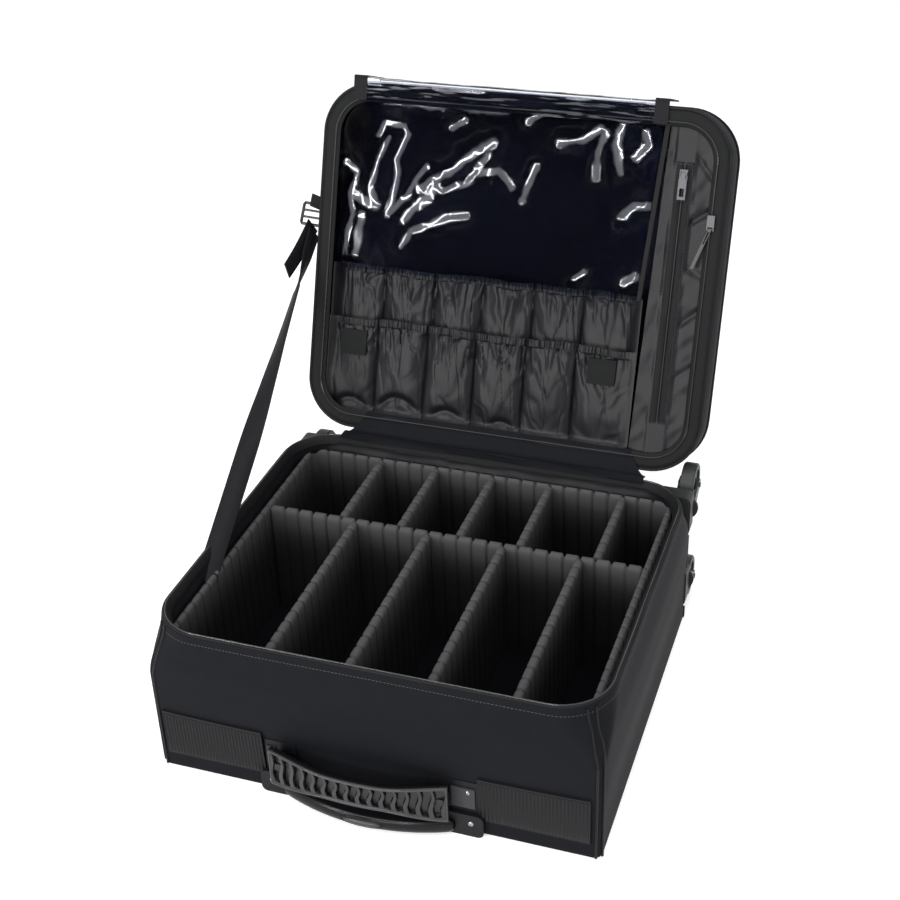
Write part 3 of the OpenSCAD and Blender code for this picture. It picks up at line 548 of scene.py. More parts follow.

# Carry handle: a bowed black rubber grip with a raised border and fifteen S-shaped slots. Its colour
# has painted shade inside the slots and painted light on the border. Its ends turn on the pins of two
# plastic plates, with riveted webbing ends under them.
HANDLE_CX, HANDLE_Z, HANDLE_HALF = -6.5, 42.0, 84.5
HANDLE_OUT, HANDLE_END, HANDLE_BACK = 27.0, 15.0, -5.4
SLOT_PITCH, SLOT_HALF, SLOT_LEAN, SLOT_DEPTH, SLOTS_EACH_SIDE = 10.9, 3.8, 1.3, 3.8, 7
BORDER, BORDER_LIFT = 2.9, 1.3
LUG_X, LUG_HALF, LUG_R, LUG_FOOT = 73.0, 6.5, 3.6, -14.6
sag = HANDLE_OUT - HANDLE_END
bow = (HANDLE_HALF ** 2 + sag ** 2) / (2 * sag)
rubber = Finish("handle_rubber", (0.012, 0.012, 0.014), 0.34, Specular_IOR_Level=0.4)
rubber.bump(rubber.noise(600.0, 2.0), 0.1, 0.0002)
# Painted shade and light: the rubber's colour is near black down in the slots and lighter on the raised
# border.
height = rubber.node("ShaderNodeAttribute", {"attribute_name": "lift"}, output=2)
rubber.mottle_and_painted_shade((0.0015, 0.0015, 0.002), (0.034, 0.034, 0.037), height ** 2.4)


def handle_height(u):
    """Half the grip's height along it."""
    return 13.6 + 6.4 * smooth((np.abs(u) - 22) / 62)


def handle_point(u, v, lift):
    """A point on the grip: u along it, v up, lift out of its face."""
    angle = math.asin(u / bow)
    reach = bow + lift
    y = -TUB_Y - HANDLE_OUT + bow - reach * math.cos(angle)
    return HANDLE_CX + reach * math.sin(angle), y, HANDLE_Z + v


def handle_lift(u, v, half):
    """How far the grip's face stands out, with its border and its slots."""
    edge = min(half - abs(v), HANDLE_HALF - abs(u))
    lift = BORDER_LIFT * float(smooth((BORDER - edge) / 1.2)) - 1.6 * float(smooth((1.4 - edge) / 1.4)) ** 2
    k = round(u / SLOT_PITCH)
    if abs(k) <= SLOTS_EACH_SIDE:
        reach = half - 3.6
        centre = SLOT_PITCH * k + SLOT_LEAN * math.sin(math.pi * v / reach) - 0.2
        wide = SLOT_HALF + 0.7 * v / reach
        inside = float(smooth((wide - abs(u - centre)) / 0.8)) * float(smooth((reach - abs(v)) / 0.9))
        lift -= SLOT_DEPTH * inside
    return lift


def spots(made):
    """The places of a mesh's points in millimetres."""
    return np.array([v.co[:] for v in made.data.vertices]) * 1000.0


def mark(made, name, values):
    """Keeps a number at each point of a mesh for its finish."""
    kept = made.data.attributes.new(name, "FLOAT", "POINT")
    kept.data.foreach_set("value", values)


rows = []
for u in np.linspace(-84.3, 84.3, 338):
    half = float(handle_height(u))
    ring = [handle_point(u, v, handle_lift(u, v, half)) for v in np.linspace(-half, half, 74)]
    ring += [handle_point(u, v, HANDLE_BACK) for v in np.linspace(half - 0.6, -half + 0.6, 14)]
    rows.append(ring)
parts = [skin(rows)]
lug = [(LUG_FOOT, -LUG_R), (LUG_FOOT, LUG_R), (HANDLE_BACK, LUG_R)]
lug += [(HANDLE_BACK + LUG_R * math.sin(a), LUG_R * math.cos(a)) for a in np.linspace(0.3, math.pi - 0.3, 8)]
lug += [(HANDLE_BACK, -LUG_R)]
for side in (-1, 1):
    c = HANDLE_CX + side * LUG_X
    rows = [[(x, -TUB_Y + y, HANDLE_Z + z) for y, z in lug] for x in (c - LUG_HALF, c + LUG_HALF)]
    parts.append(skin(rows))
handle = build("carry_handle_skin", *joined(parts), rubber, "carry_handle", "moulded_black", 38)
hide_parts("handle_grip")
at = spots(handle)
lift = np.hypot(at[:, 0] - HANDLE_CX, at[:, 1] + TUB_Y + HANDLE_OUT - bow) - bow
# Lift, from 0 down in the slots to 1 on the border, sets the handle's painted shade.
mark(handle, "lift", np.clip((lift + 3.0) / 4.2, 0.0, 1.0))
webbing = Finish("webbing_grey", (0.045, 0.045, 0.05), 0.7, Specular_IOR_Level=0.12)
webbing.bump(webbing.noise(700.0, 2.0, (1.0, 1.0, 0.3)), 0.4, 0.0004)
dress("handle_end_plates", plastic, 0.5)
dress("webbing_tabs", webbing, 0.4)

# Casters: moulded grey housings that guard the far corners, with black forks swivelling in them. Each
# fork carries its axle and a dark rubber wheel.
housing = Finish("caster_grey", (0.030, 0.033, 0.031), 0.5, Specular_IOR_Level=0.2)
housing.bump(housing.noise(500.0, 2.0), 0.15, 0.0002)
fork_finish = Finish("caster_black", (0.018, 0.019, 0.021), 0.38, Specular_IOR_Level=0.3)
wheel_finish = Finish("wheel_rubber", (0.030, 0.031, 0.033), 0.48, Specular_IOR_Level=0.3)
dress("caster_housings", housing, 2.5)
for k in range(1, 5):
    dress(f"caster_fork_{k}", fork_finish, 0.7)
    dress(f"wheel_{k}", wheel_finish, 0.8)

# Lining of the tub: black satin, sewn in at the rim and loose down to the foam. Its floor is a piece
# of its own under the insert.
LINING_TOP, LINING_INSET = 154.5, 11.0
satin = Finish("satin_lining", (0.0065, 0.0065, 0.008), 0.4, Specular_IOR_Level=0.18)
satin.bump(satin.noise(1200.0, 2.0), 0.15, 0.0002)
rows = []
for z in np.linspace(LINING_TOP, 120, 22):
    inset = 8.3 + 2.7 * float(smooth((154 - z) / 12))
    ring = tub_ring(z, inset, 0.0)
    x, y = ring[:, 0], ring[:, 1]
    wave = 1.1 * lattice(x / 14 + y / 11, z / 26, 5) + 0.8 * lattice(x / 7 - y / 8, z / 15, 6)
    centre = ring[:, :2] / np.linalg.norm(ring[:, :2], axis=1)[:, None]
    ring[:, :2] += centre * (wave * smooth((158 - z) / 12))[:, None]
    rows.append(ring)
rows.append(tub_ring(25, LINING_INSET, 0.0))
floor_rows = [tub_ring(20, LINING_INSET, 0.0), tub_ring(19.2, 8.0, 0.0)]
rows += floor_rows + [tub_ring(60, 7.4, 0.0), tub_ring(150, 5.6, 0.0)]
lining = build("tub_lining", *skin(rows, caps=False), satin, "base", "satin_lining")
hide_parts("base_lining")
build("tub_lining_floor", *skin(floor_rows), satin, "base", "satin_lining")

# Foam insert: a ring of soft black foam walls with a groove for a divider at every pitch, on a felt
# floor. It is pushed into the tub. Its colour has painted shade towards its floor and painted light on its
# tops.
PITCH, CROSS_Y, IN_X, IN_Y = 15.2, 52.0, 190.0, 162.0
GROOVE_HALF, WALL_GROOVE = 2.1, 2.8
WALL_SECTION = ((0, 23), (0, 60), (0, 110), (0, 140), (0.2, 143.2), (0.9, 145.0), (2.2, 146.0),
                (3.6, 146.0), (4.8, 145.2))
WALL_BACK = (144.5, 60, 23)
foam = Finish("foam", (0.05, 0.05, 0.052), 0.9, Specular_IOR_Level=0.06)
# Painted shade and light: the foam's colour runs from near black low down to light grey at its tops.
height = foam.node("ShaderNodeSeparateXYZ", None, {0: foam.place()}, output=2)
painted_shade = foam.node("ShaderNodeMapRange", None, {"Value": height, "From Min": 0.085, "From Max": 0.146})
foam.mottle_and_painted_shade((0.010, 0.010, 0.011), (0.072, 0.072, 0.074), painted_shade ** 2.4)
foam.bump(foam.noise(420.0, 4.0), 0.4, 0.0006)


def groove(t):
    """Depth of the foam's surface at t from a groove, from 1 at its line to 0 on the pad."""
    away = np.abs(np.mod(t / PITCH + 0.5, 1.0) - 0.5) * PITCH
    return np.clip(1 - away / GROOVE_HALF, 0, 1) ** 1.1


points, normals = outline(IN_X, IN_Y, 5.0, 280, 8)
across = np.abs(normals[:, 1]) > np.abs(normals[:, 0])
where = np.where(across, points[:, 0] - PITCH / 2, points[:, 1] - CROSS_Y)
straight = np.maximum(np.abs(normals[:, 0]), np.abs(normals[:, 1])) > 0.999
dip = groove(where) * straight
outer, _ = outline(196.0, 168.0, 20.0, 280, 8)
rows = []
for p, n, q, d in zip(points, normals, outer, dip):
    ring = []
    for back, z in WALL_SECTION:
        at = p + n * (back + WALL_GROOVE * d)
        ring.append((at[0], at[1], z - (4.2 * d if z > 142 else 0)))
    rows.append(ring + [(q[0], q[1], z) for z in WALL_BACK])
walls = build("foam_walls", *skin(rows, along=True), foam, "base", "foam", 60)
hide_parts("insert_walls")
felt = Finish("insert_felt", (0.004, 0.004, 0.006), 0.95, Specular_IOR_Level=0.03)
dress("insert_floor", felt)

# Dividers: boards of the same ribbed foam on both sides, rounded on top. Their tongues slide down in
# the grooves of the walls and of the cross divider, so each lifts straight out.
DIVIDER_SECTION = ((1, 23), (1, 70), (1, 120), (1, 138), (0.97, 141.4), (0.82, 143.9), (0.5, 145.2),
                   (0, 145.6))
DIVIDER_HALF, TONGUE_HALF, SHORT_TONGUE, LONG_TONGUE = 4.4, 1.35, 1.2, 2.4
FRONT_X = (-98.8, -22.8, 53.2, 129.2)
REAR_X = (-114.0, -53.2, 7.6, 68.4, 144.4)


def divider(name, body, start, end, tongue, at, phase, across=False):
    """A foam board from start to end along its own length, with a tongue at each end."""
    length = end - start
    steps = int(round(length / 1.1))
    rows = []
    for i in range(-2, steps + 3):
        t = start + length * min(max(i / steps, 0), 1)
        if i < 0:
            t, wide, d = start - tongue[0] * (-i / 2), TONGUE_HALF, 0.0
        elif i > steps:
            t, wide, d = end + tongue[1] * ((i - steps) / 2), TONGUE_HALF, 0.0
        else:
            d = float(groove(t - phase))
            wide = DIVIDER_HALF - 2.4 * d
            if i in (0, steps):
                wide = min(wide, 3.0)
        ring = []
        for part, z in DIVIDER_SECTION:
            ring.append((wide * part, z - (4.0 * d if z > 137 else 0)))
        ring += [(-a, z) for a, z in ring[-2::-1]]
        if across:
            rows.append([(t, at + a, z) for a, z in ring])
        else:
            rows.append([(at + a, t, z) for a, z in ring])
    made = build(name, *skin(rows), foam, body, "foam", 60)
    return made


made = divider("cross_divider_foam", "divider_cross", -IN_X + 0.4, IN_X - 0.4,
               (LONG_TONGUE, LONG_TONGUE), CROSS_Y, PITCH / 2, across=True)
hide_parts("cross_divider")
for k, x in enumerate(FRONT_X, 1):
    made = divider(f"front_divider_{k}_foam", f"divider_front_{k}", -IN_Y + 0.4, 47.1,
                   (LONG_TONGUE, SHORT_TONGUE), x, CROSS_Y)
    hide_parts(f"front_divider_{k}")
for k, x in enumerate(REAR_X, 1):
    made = divider(f"rear_divider_{k}_foam", f"divider_rear_{k}", 56.9, IN_Y - 0.4,
                   (SHORT_TONGUE, LONG_TONGUE), x, CROSS_Y)
    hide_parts(f"rear_divider_{k}")

# Lid: the same black cloth over one board, turning on a welt rod behind the rim. It is drawn on its
# own grid, x across, h up from the hinge edge and d deep behind the mouth, then stood open.
LID_X, LID_H, LID_D, LID_R = 210.0, 356.0, 45.0, 50.0
OPEN = math.radians(110)
PIN_Y, PIN_Z, MOUTH_Z = 186.33, 156.8, 162.3
LID_SWELL, BACK_R, BACK_SWELL = 2.4, 7.0, 4.0


def lid(points):
    """Points (x, h, d) in the row frame."""
    points = np.asarray(points, float)
    y = TUB_Y - points[..., 1] - PIN_Y
    z = MOUTH_Z + points[..., 2] - PIN_Z
    return np.stack([points[..., 0], PIN_Y + y * math.cos(OPEN) + z * math.sin(OPEN),
                     PIN_Z - y * math.sin(OPEN) + z * math.cos(OPEN)], -1)


def unlid(points):
    """X and h in the lid's grid of points in the row frame."""
    y, z = points[:, 1] - PIN_Y, points[:, 2] - PIN_Z
    return points[:, 0], TUB_Y - PIN_Y - (y * math.cos(OPEN) - z * math.sin(OPEN))


def lid_ring(inset, depth, loose=0.0, radius=None, side_steps=44):
    """One ring round the lid, set in from its edge at a depth; loose is how far its sides swell."""
    radius = max(LID_R - inset, 3.0) if radius is None else radius
    points, normals = outline(LID_X - inset, LID_H / 2 - inset, radius, side_steps)
    x, h = points.T
    if loose:
        out = loose * (np.clip(1 - (x / LID_X) ** 2, 0, 1) ** 0.6 * normals[:, 1] ** 2
                       + np.clip(1 - (h / (LID_H / 2)) ** 2, 0, 1) ** 0.6 * normals[:, 0] ** 2)
        points = points + normals * out[:, None]
    depth = np.broadcast_to(np.asarray(depth, float), len(points))
    return np.column_stack([points[:, 0], points[:, 1] + LID_H / 2, depth])


def bowl(rows):
    """Points and faces over rings in the lid, with the last ring closed."""
    points, faces = skin(lid(rows), caps=False)
    faces.append(tuple(range(len(points) - len(rows[0]), len(points))))
    return points, faces


rows = [lid_ring(1.2, 1.4), lid_ring(0.3, 1.8), lid_ring(0.0, 3.0)]
for d in (8, 14, 20, 26, 32, 37):
    rows.append(lid_ring(0.0, d, LID_SWELL * math.sin(math.pi * d / LID_D)))
for a in np.linspace(0.25, math.pi / 2, 5):
    rows.append(lid_ring(BACK_R * (1 - math.cos(a)), LID_D - BACK_R + BACK_R * math.sin(a), math.cos(a)))
for k in range(1, 13):
    t = k / 13
    ring = lid_ring(BACK_R + 165 * t, 0, radius=max(43 * (1 - t), 4))
    x, h = ring[:, 0] / LID_X, (ring[:, 1] - LID_H / 2) / (LID_H / 2)
    out = BACK_SWELL * np.clip((1 - x * x) * (1 - h * h), 0, 1)
    ring[:, 2] = LID_D + out + 0.5 * lattice(ring[:, 0] / 60, ring[:, 1] / 60, 9)
    rows.append(ring)
outside = bowl(rows)
inner = [lid_ring(2.6, 1.4), lid_ring(3.0, 6), lid_ring(3.0, 36), lid_ring(8, 41)]
inside = bowl(inner)
bridge = skin(lid([inner[0], rows[0]]), caps=False)
lid_skin = build("lid_shell_skin", *joined([outside, inside, bridge]), fabric, "lid", "fabric_black")
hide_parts("lid_shell")

# Lid piping: two black welt cords, one round the back panel's edge and one round the mouth. They are
# sewn in the seams and follow the lid's rounded corners.
parts = [tube(lid(lid_ring(-0.6, 42.5, 0.3, side_steps=20)), 1.6, closed=True),
         tube(lid(lid_ring(0.4, 1.2, side_steps=20)), 1.7, closed=True)]
lid_cords = build("lid_cords", *joined(parts), piping_finish, "lid", "fabric_black")
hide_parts("lid_piping")

# Lid zip tape: a wide band of dark grey tape sewn round the mouth, with its coil near the inner edge.
# It is a little wavy between its stitches.
BAND_RINGS = ((1.5, 0.6), (3, -0.2), (6, -0.4), (10, 0.3), (13.5, 0.4), (16.5, 0.9), (17.3, 1.6),
              (16.5, 2.0), (6, 1.6), (2, 1.6))
LID_COIL_INSET, LID_COIL_D = 13.0, -0.6
rows = []
for inset, d in BAND_RINGS:
    ring = lid_ring(inset, d)
    ring[:, 2] += 0.35 * lattice(ring[:, 0] / 30, ring[:, 1] / 30, 11)
    rows.append(ring)
rows = np.transpose(np.array(rows), (1, 0, 2))
grey_tape = Finish("lid_tape", (0.0070, 0.0074, 0.0074), 0.6, Specular_IOR_Level=0.12)
grey_tape.bump(grey_tape.noise(700.0, 2.0), 0.35, 0.0004)
lid_tape = build("lid_tape_band", *skin(lid(rows), along=True), grey_tape, "lid", "zip_tape")
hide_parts("lid_zip_tape")
coil(lid(lid_ring(LID_COIL_INSET, LID_COIL_D, side_steps=30)), "lid_coil", "lid")

# Lid lining: black cloth, sewn in at the mouth, slack down the lid's sides and over the board. The
# pockets and the film lie in front of it.
LINING_SIDES = ((5.5, 1.6), (5.6, 8), (5.8, 16), (6, 24), (6.4, 32), (8, 37), (13, 39))
LINING_D = 38.6
rows = []
for inset, d in LINING_SIDES:
    ring = lid_ring(inset, d)
    x, h = ring[:, 0], ring[:, 1]
    ring[:, 2] += 0.5 * (lattice(x / 15, h / 15, 21) + 0.6 * lattice(x / 7, h / 7 + d / 9, 22))
    rows.append(ring)
for k in range(1, 30):
    t = k / 30
    ring = lid_ring(13 + 152 * t, 0, radius=max(37 * (1 - t), 4))
    x, h = ring[:, 0], ring[:, 1]
    fold = 1.0 * lattice(x / 26 + h / 50, h / 20, 23) + 0.6 * lattice(x / 11 - h / 19, h / 13, 24)
    ring[:, 2] = LINING_D + fold * (1 - 0.2 * t)
    rows.append(ring)
back_cloth = Finish("lid_lining", (0.0035, 0.0036, 0.0050), 0.5, Specular_IOR_Level=0.05)
back_cloth.bump(back_cloth.noise(1200.0, 2.0), 0.15, 0.0002)
lid_cloth = build("lid_lining_satin", *bowl(rows), back_cloth, "lid", "satin_lining")
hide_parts("lid_lining")

# Clear pocket: a stiff clear film sewn over the upper lid, with black tape on its right edge. It is
# creased from storage: each row below is a crease's size, its width and the points of its line.
WINDOW_LOW, WINDOW_HIGH = 168.0, 346.0
BINDING_SECTION = ((-3.0, 1.6), (-2.8, 0.7), (1.6, 0.5), (2.0, 1.2), (1.6, 2.4), (-2.8, 2.4))
CREASES = (
    (1.5, 8.5, (-139, 305), (-149, 282), (-156, 254), (-149, 236)),
    (1.5, 7.6, (-151, 306), (-144, 319), (-123, 317), (-119, 309), (-130, 283), (-127, 269), (-135, 226)),
    (1.5, 7.6, (-135, 226), (-116, 247), (-108, 264), (-96, 279)),
    (1.3, 7.6, (-185, 276), (-171, 267), (-177, 245), (-173, 224), (-178, 205), (-180, 183)),
    (2.2, 11.9, (-170, 241), (-149, 235)),
    (2.0, 11.0, (-163, 224), (-168, 183)),
    (2.2, 11.0, (-118, 222), (-102, 241), (-92, 246), (-85, 267), (-66, 279), (-47, 297), (-28, 308)),
    (1.8, 9.2, (-102, 255), (-89, 266), (-78, 256), (-54, 265)),
    (1.8, 9.2, (-51, 268), (-33, 295)),
    (1.8, 9.2, (-40, 277), (-21, 281), (-6, 266)),
    (1.9, 9.2, (-118, 196), (-109, 212), (-85, 222), (-70, 230), (-51, 234)),
    (1.5, 8.5, (6, 255), (18, 289)),
    (1.5, 8.5, (-149, 342), (-121, 341), (-92, 338), (-70, 343), (-47, 340), (-16, 341)),
    (1.5, 8.5, (6, 332), (20, 341), (32, 342)),
    (1.2, 6.8, (-73, 319), (-59, 328)),
    (2.0, 10.1, (40, 314), (66, 319), (79, 331)),
    (2.0, 10.1, (85, 327), (79, 308), (80, 284)),
    (2.0, 10.1, (101, 337), (97, 317), (103, 291)),
    (2.0, 10.1, (124, 330), (128, 320), (117, 306)),
    (2.4, 11.9, (139, 262), (121, 261), (112, 249)),
    (1.5, 8.5, (67, 183), (76, 190)),
    (1.5, 8.5, (129, 191), (118, 183)),
)


def crease_lines(x, h):
    """Each crease's size and width, with the distances of the places from its line."""
    for size, width, *line in CREASES:
        near = np.full(x.shape, 1e9)
        for (x0, h0), (x1, h1) in zip(line, line[1:]):
            dx, dh = x1 - x0, h1 - h0
            t = np.clip(((x - x0) * dx + (h - h0) * dh) / (dx * dx + dh * dh), 0, 1)
            near = np.minimum(near, np.hypot(x - x0 - t * dx, h - h0 - t * dh))
        yield size, width, near


def crease_depth(x, h):
    """How far the film stands forward at a place, from its creases and its slow waves."""
    total = 1.6 * lattice(x / 62, h / 55, 31) + 0.7 * lattice(x / 27 + h / 60, h / 31, 32)
    for size, width, near in crease_lines(x, h):
        total += size * np.exp(-(near / width) ** 2)
    return total


def crease_mask(x, h):
    """How sharply the film is bent at a place, from 0 to 1."""
    most = np.zeros(x.shape)
    for size, width, near in crease_lines(x, h):
        ragged = width * (0.34 + 0.13 * lattice(x / 7, h / 7, 35) + 0.10 * lattice(x / 19, h / 19, 36))
        most = np.maximum(most, smooth(1.5 - near / ragged))
    return most


def window_left(h):
    """X of the film's left edge, which follows the frame round its corner."""
    if h < 306:
        return -184.0 - 16.0 * smooth((h - 168) / 120)
    return -160 - math.sqrt(max(40.0 ** 2 - (h - 306) ** 2, 0))


def window_right(h):
    """X of the film's right edge."""
    return 135.0 + 11.0 * (h - WINDOW_LOW) / (WINDOW_HIGH - WINDOW_LOW)


def sheet_rows(xs_of, hs, depth_of, thick):
    """Rings of a thin sheet: its front, then its back, with both edges closed."""
    rows = []
    for i, h in enumerate(hs):
        xs = xs_of(h)
        d = depth_of(xs, np.full(len(xs), h))
        gap = 0.0 if i in (0, len(hs) - 1) else thick
        front = np.column_stack([xs, np.full(len(xs), h), d])
        back = front[::-1] + (0, 0, gap)
        back[0, 2] = front[-1, 2]
        back[-1, 2] = front[0, 2]
        rows.append(np.vstack([front, back]))
    return np.array(rows)


def window_depth(x, h):
    """Depth of the film, flat at its sewn edges."""
    left = np.array([window_left(v) for v in h])
    edge = np.minimum.reduce([x - left, window_right(h) - x, h - WINDOW_LOW + 6, WINDOW_HIGH - h])
    return 3.0 - crease_depth(x, h) * smooth(edge / 9.0)


clear = Finish("clear_film", (0.46, 0.50, 0.66), 0.12, Transmission_Weight=1.0, IOR=1.04,
               Coat_IOR=1.7, Coat_Roughness=0.11)
clear.set("Coat Weight", clear.node("ShaderNodeAttribute", {"attribute_name": "crease"}, output=2))
film_hs = np.linspace(WINDOW_LOW, WINDOW_HIGH, 170)
rows = sheet_rows(lambda h: np.linspace(window_left(h), window_right(h), 310),
                  film_hs, window_depth, 0.4)
film = build("clear_pocket_film", *skin(lid(rows), caps=False), clear, "lid", "clear_sheet", 180)
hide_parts("clear_window")
mark(film, "crease", crease_mask(*unlid(spots(film))))
rows = []
for off, d in BINDING_SECTION:
    wave = 0.5 * lattice(film_hs / 11, 0.0, 41)
    rows.append(np.column_stack([window_right(film_hs) + off, film_hs, d + wave]))
rows = np.transpose(np.array(rows), (1, 0, 2))
build("film_binding", *skin(lid(rows)), tape, "lid", "clear_sheet")

# Upper pockets: one strip of black satin sewn down into six pockets, under a hem gathered by elastic.
# Folds fan down from the hem. The shape is its seams, foot, top, depth, swell and seed.
UPPER_POCKETS = (np.array([-192.0, -140, -85, -32, 22, 75, 138]), 34, 171, 24, 7, 51)
UPPER_FOOT_D, HEM, HEM_PITCH = 36, 8, 2.9


def gathered(x, h, seams, low, top, seam_d, swell, seed):
    """Depth of a gathered pocket's front."""
    k = np.clip(np.searchsorted(seams, x) - 1, 0, len(seams) - 2)
    t = (x - seams[k]) / (seams[k + 1] - seams[k]) * 2 - 1
    body = np.sqrt(np.clip(1 - t ** 6, 0, 1)) * 0.55 + (1 - t * t) * 0.45
    rise = (h - low) / (top - low)
    fill = 0.62 + 0.5 * smooth(rise / 0.35) * (1 - 0.45 * smooth((rise - 0.45) / 0.5))
    d = seam_d - swell * body * fill
    below = top - HEM - h
    fade = np.where(below > 0, np.exp(-np.maximum(below, 0) / 16.0), 0.7)
    lean = x + 0.16 * t * np.maximum(below, 0) * 0.6
    d += 1.5 * fade * lattice(lean / 3.1, h / 30, seed)
    d += 2.1 * np.exp(-np.maximum(below, 0) / 34.0) * lattice(lean / 7.5 + 9, h / 46, seed + 1)
    d += 1.3 * lattice(x / 15 + h / 40, h / 37, seed + 2)
    spread = np.abs(t) * (seams[k + 1] - seams[k]) / 2 + 0.55 * np.maximum(below, 0)
    spread = spread / 6.5 + 1.6 * lattice(x / 21, h / 17, seed + 6)
    fan = lattice(spread, np.sign(t) * 3 + k * 5, seed + 5) * (below > 0)
    d += 1.5 * np.exp(-np.maximum(below, 0) / 42.0) * fan
    crease = np.abs(lattice(lean / 10 + h / 55, h / 60, seed + 3))
    d += 2.2 * np.clip(1 - crease / 0.12, 0, 1) * np.exp(-np.maximum(below, 0) / 45.0) * (below > 0)
    ridge = np.cos((x + 0.8 * lattice(x / 9, 0.0, seed + 4)) * 2 * math.pi / HEM_PITCH)
    elastic = d - 0.8 - 0.55 * ridge + 0.5 * (np.abs(h - top + 4) / 4) ** 4
    return np.where(h > top - HEM, elastic, d)


def pocket_strip(shape, foot_d, dents=()):
    """Points and faces of a row of pockets."""
    seams, low, top, seed = shape[0], shape[1], shape[2], shape[-1]
    x0, x1 = seams[0], seams[-1]

    def depth(x, h):
        d = gathered(x, h, *shape)
        for cx, ch, r in dents:
            ring = np.hypot(x - cx, (h - ch) * 1.1) - r
            d += 2.6 * np.exp(-(ring / 4.2) ** 2) * smooth((h - ch - 2) / 9)
        for edge, reach, to in ((x - x0, 9.0, 4.0), (x1 - x, 17.0, 5.2)):
            d = d + (to - d) * smooth(1 - edge / reach)
        return d + (foot_d - d) * smooth(1 - (h - low) / 9.0)

    hs = np.concatenate([np.linspace(low, low + 8, 6)[:-1], np.linspace(low + 8, top - 9, 46),
                         np.linspace(top - 8.4, top, 14)])
    rows = sheet_rows(lambda h: np.linspace(x0, x1, 400), hs, depth, 0.8)
    share = np.clip((rows[:, :, 1] - low) / (top - low), 0, 1)
    rows[:, :, 1] += 1.6 * lattice(rows[:, :, 0] / 30, 0.0, seed + 8) * share
    return skin(lid(rows), caps=False)


pocket_satin = Finish("pocket_satin", (0.0072, 0.0072, 0.0088), 0.40, Specular_IOR_Level=0.22)
pocket_satin.bump(pocket_satin.noise(1000.0, 2.0), 0.2, 0.0002)
made = pocket_strip(UPPER_POCKETS, UPPER_FOOT_D)
upper = build("upper_pocket_row", *made, pocket_satin, "lid", "satin_lining", 75)
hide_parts("upper_pockets")

# Lower pockets: the same satin strip again, shorter and further forward, and sewn down at the same
# seams. Four pockets are dented at the foot, each at a place with a radius.
LOWER_POCKETS = (np.array([-193.0, -140, -85, -32, 22, 75, 138]), 13, 116, 14, 8, 61)
LOWER_FOOT_D = 5
DENTS = ((-112, 17, 20), (-58, 16, 14), (-166, 14, 17), (2, 15, 11))
made = pocket_strip(LOWER_POCKETS, LOWER_FOOT_D, DENTS)
lower = build("lower_pocket_row", *made, pocket_satin, "lid", "satin_lining", 75)
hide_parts("lower_pockets")

# Hook patches: two matt squares of hook tape sewn to the lower row's end pockets. They stand a little
# in front of the pockets' folds.
PATCH_PLACES = ((-178, -150, 77, 103), (89, 118, 79, 105))
PATCH_OUT, PATCH_DEPTH = 2.8, 3.7
hook = Finish("hook_patch", (0.017, 0.018, 0.018), 0.95, Specular_IOR_Level=0.05)
hook.bump(hook.noise(1500.0, 1.0), 0.8, 0.0006)
parts = []
for x0, x1, h0, h1 in PATCH_PLACES:
    rows = []
    for h in np.linspace(h0, h1, 14):
        xs = np.linspace(x0, x1, 16)
        d = gathered(xs, np.full(16, h), *LOWER_POCKETS).mean() - PATCH_OUT
        front = np.column_stack([xs, np.full(16, h), np.full(16, d)])
        rows.append(np.vstack([front, front[::-1] + (0, 0, PATCH_DEPTH)]))
    parts.append(skin(lid(rows)))
patches = build("hook_squares", *joined(parts), hook, "lid", "foam")
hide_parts("hook_patches")

# Side panel: black satin beside the film and the pockets, creased, with its own zip for a pocket. The
# zips' sliders and pulls are cast metal, and the main pull is black cord.
SIDE_LOW, SIDE_HIGH, ZIP_X, ZIP_LOW, ZIP_HIGH = 14.0, 345.0, 165.5, 48.0, 306.0
SIDE_FOLDS = ((250, 0.7, 2.2), (150, 0.9, 1.8), (205, -0.5, 1.4), (96, 0.8, 1.6), (310, -1.2, 1.4))


def side_edges(h):
    """X of the panel's two edges."""
    left = 137.0 + 9.0 * (h - SIDE_LOW) / (SIDE_HIGH - SIDE_LOW)
    right = 203.0
    if h > 306:
        right = 160 + math.sqrt(max(43.0 ** 2 - (h - 306) ** 2, 0))
    if h < 50:
        right = 160 + math.sqrt(max(43.0 ** 2 - (h - 50) ** 2, 0))
    return left, right


def side_columns(h):
    """X across the panel, with its left edge turned back to the lining."""
    left, right = side_edges(h)
    return np.concatenate([(left, left + 0.6, left + 1.3), np.linspace(left + 2.0, right, 76)])


def side_depth(x, h):
    """Depth of the panel: flat under the zip, with its folds beside it and its left edge turned back."""
    d = 4.5 + 0.9 * lattice(x / 18 + h / 50, h / 24, 71) + 0.8 * lattice(x / 9 - h / 22, h / 13, 72)
    for centre, slope, size in SIDE_FOLDS:
        d += size * np.exp(-((h - centre - slope * (x - 178)) / 4.0) ** 2) * smooth((x - 170) / 8)
    edge = np.abs(x - ZIP_X)
    d = d * smooth((edge - 8) / 5) + 3.6 * (1 - smooth((edge - 8) / 5))
    d = np.where((h < 46) | (h > 308), np.maximum(d, 3.0), d)
    return d + 27.0 * np.clip(1 - (x - x.min()) / 2.0, 0, 1)


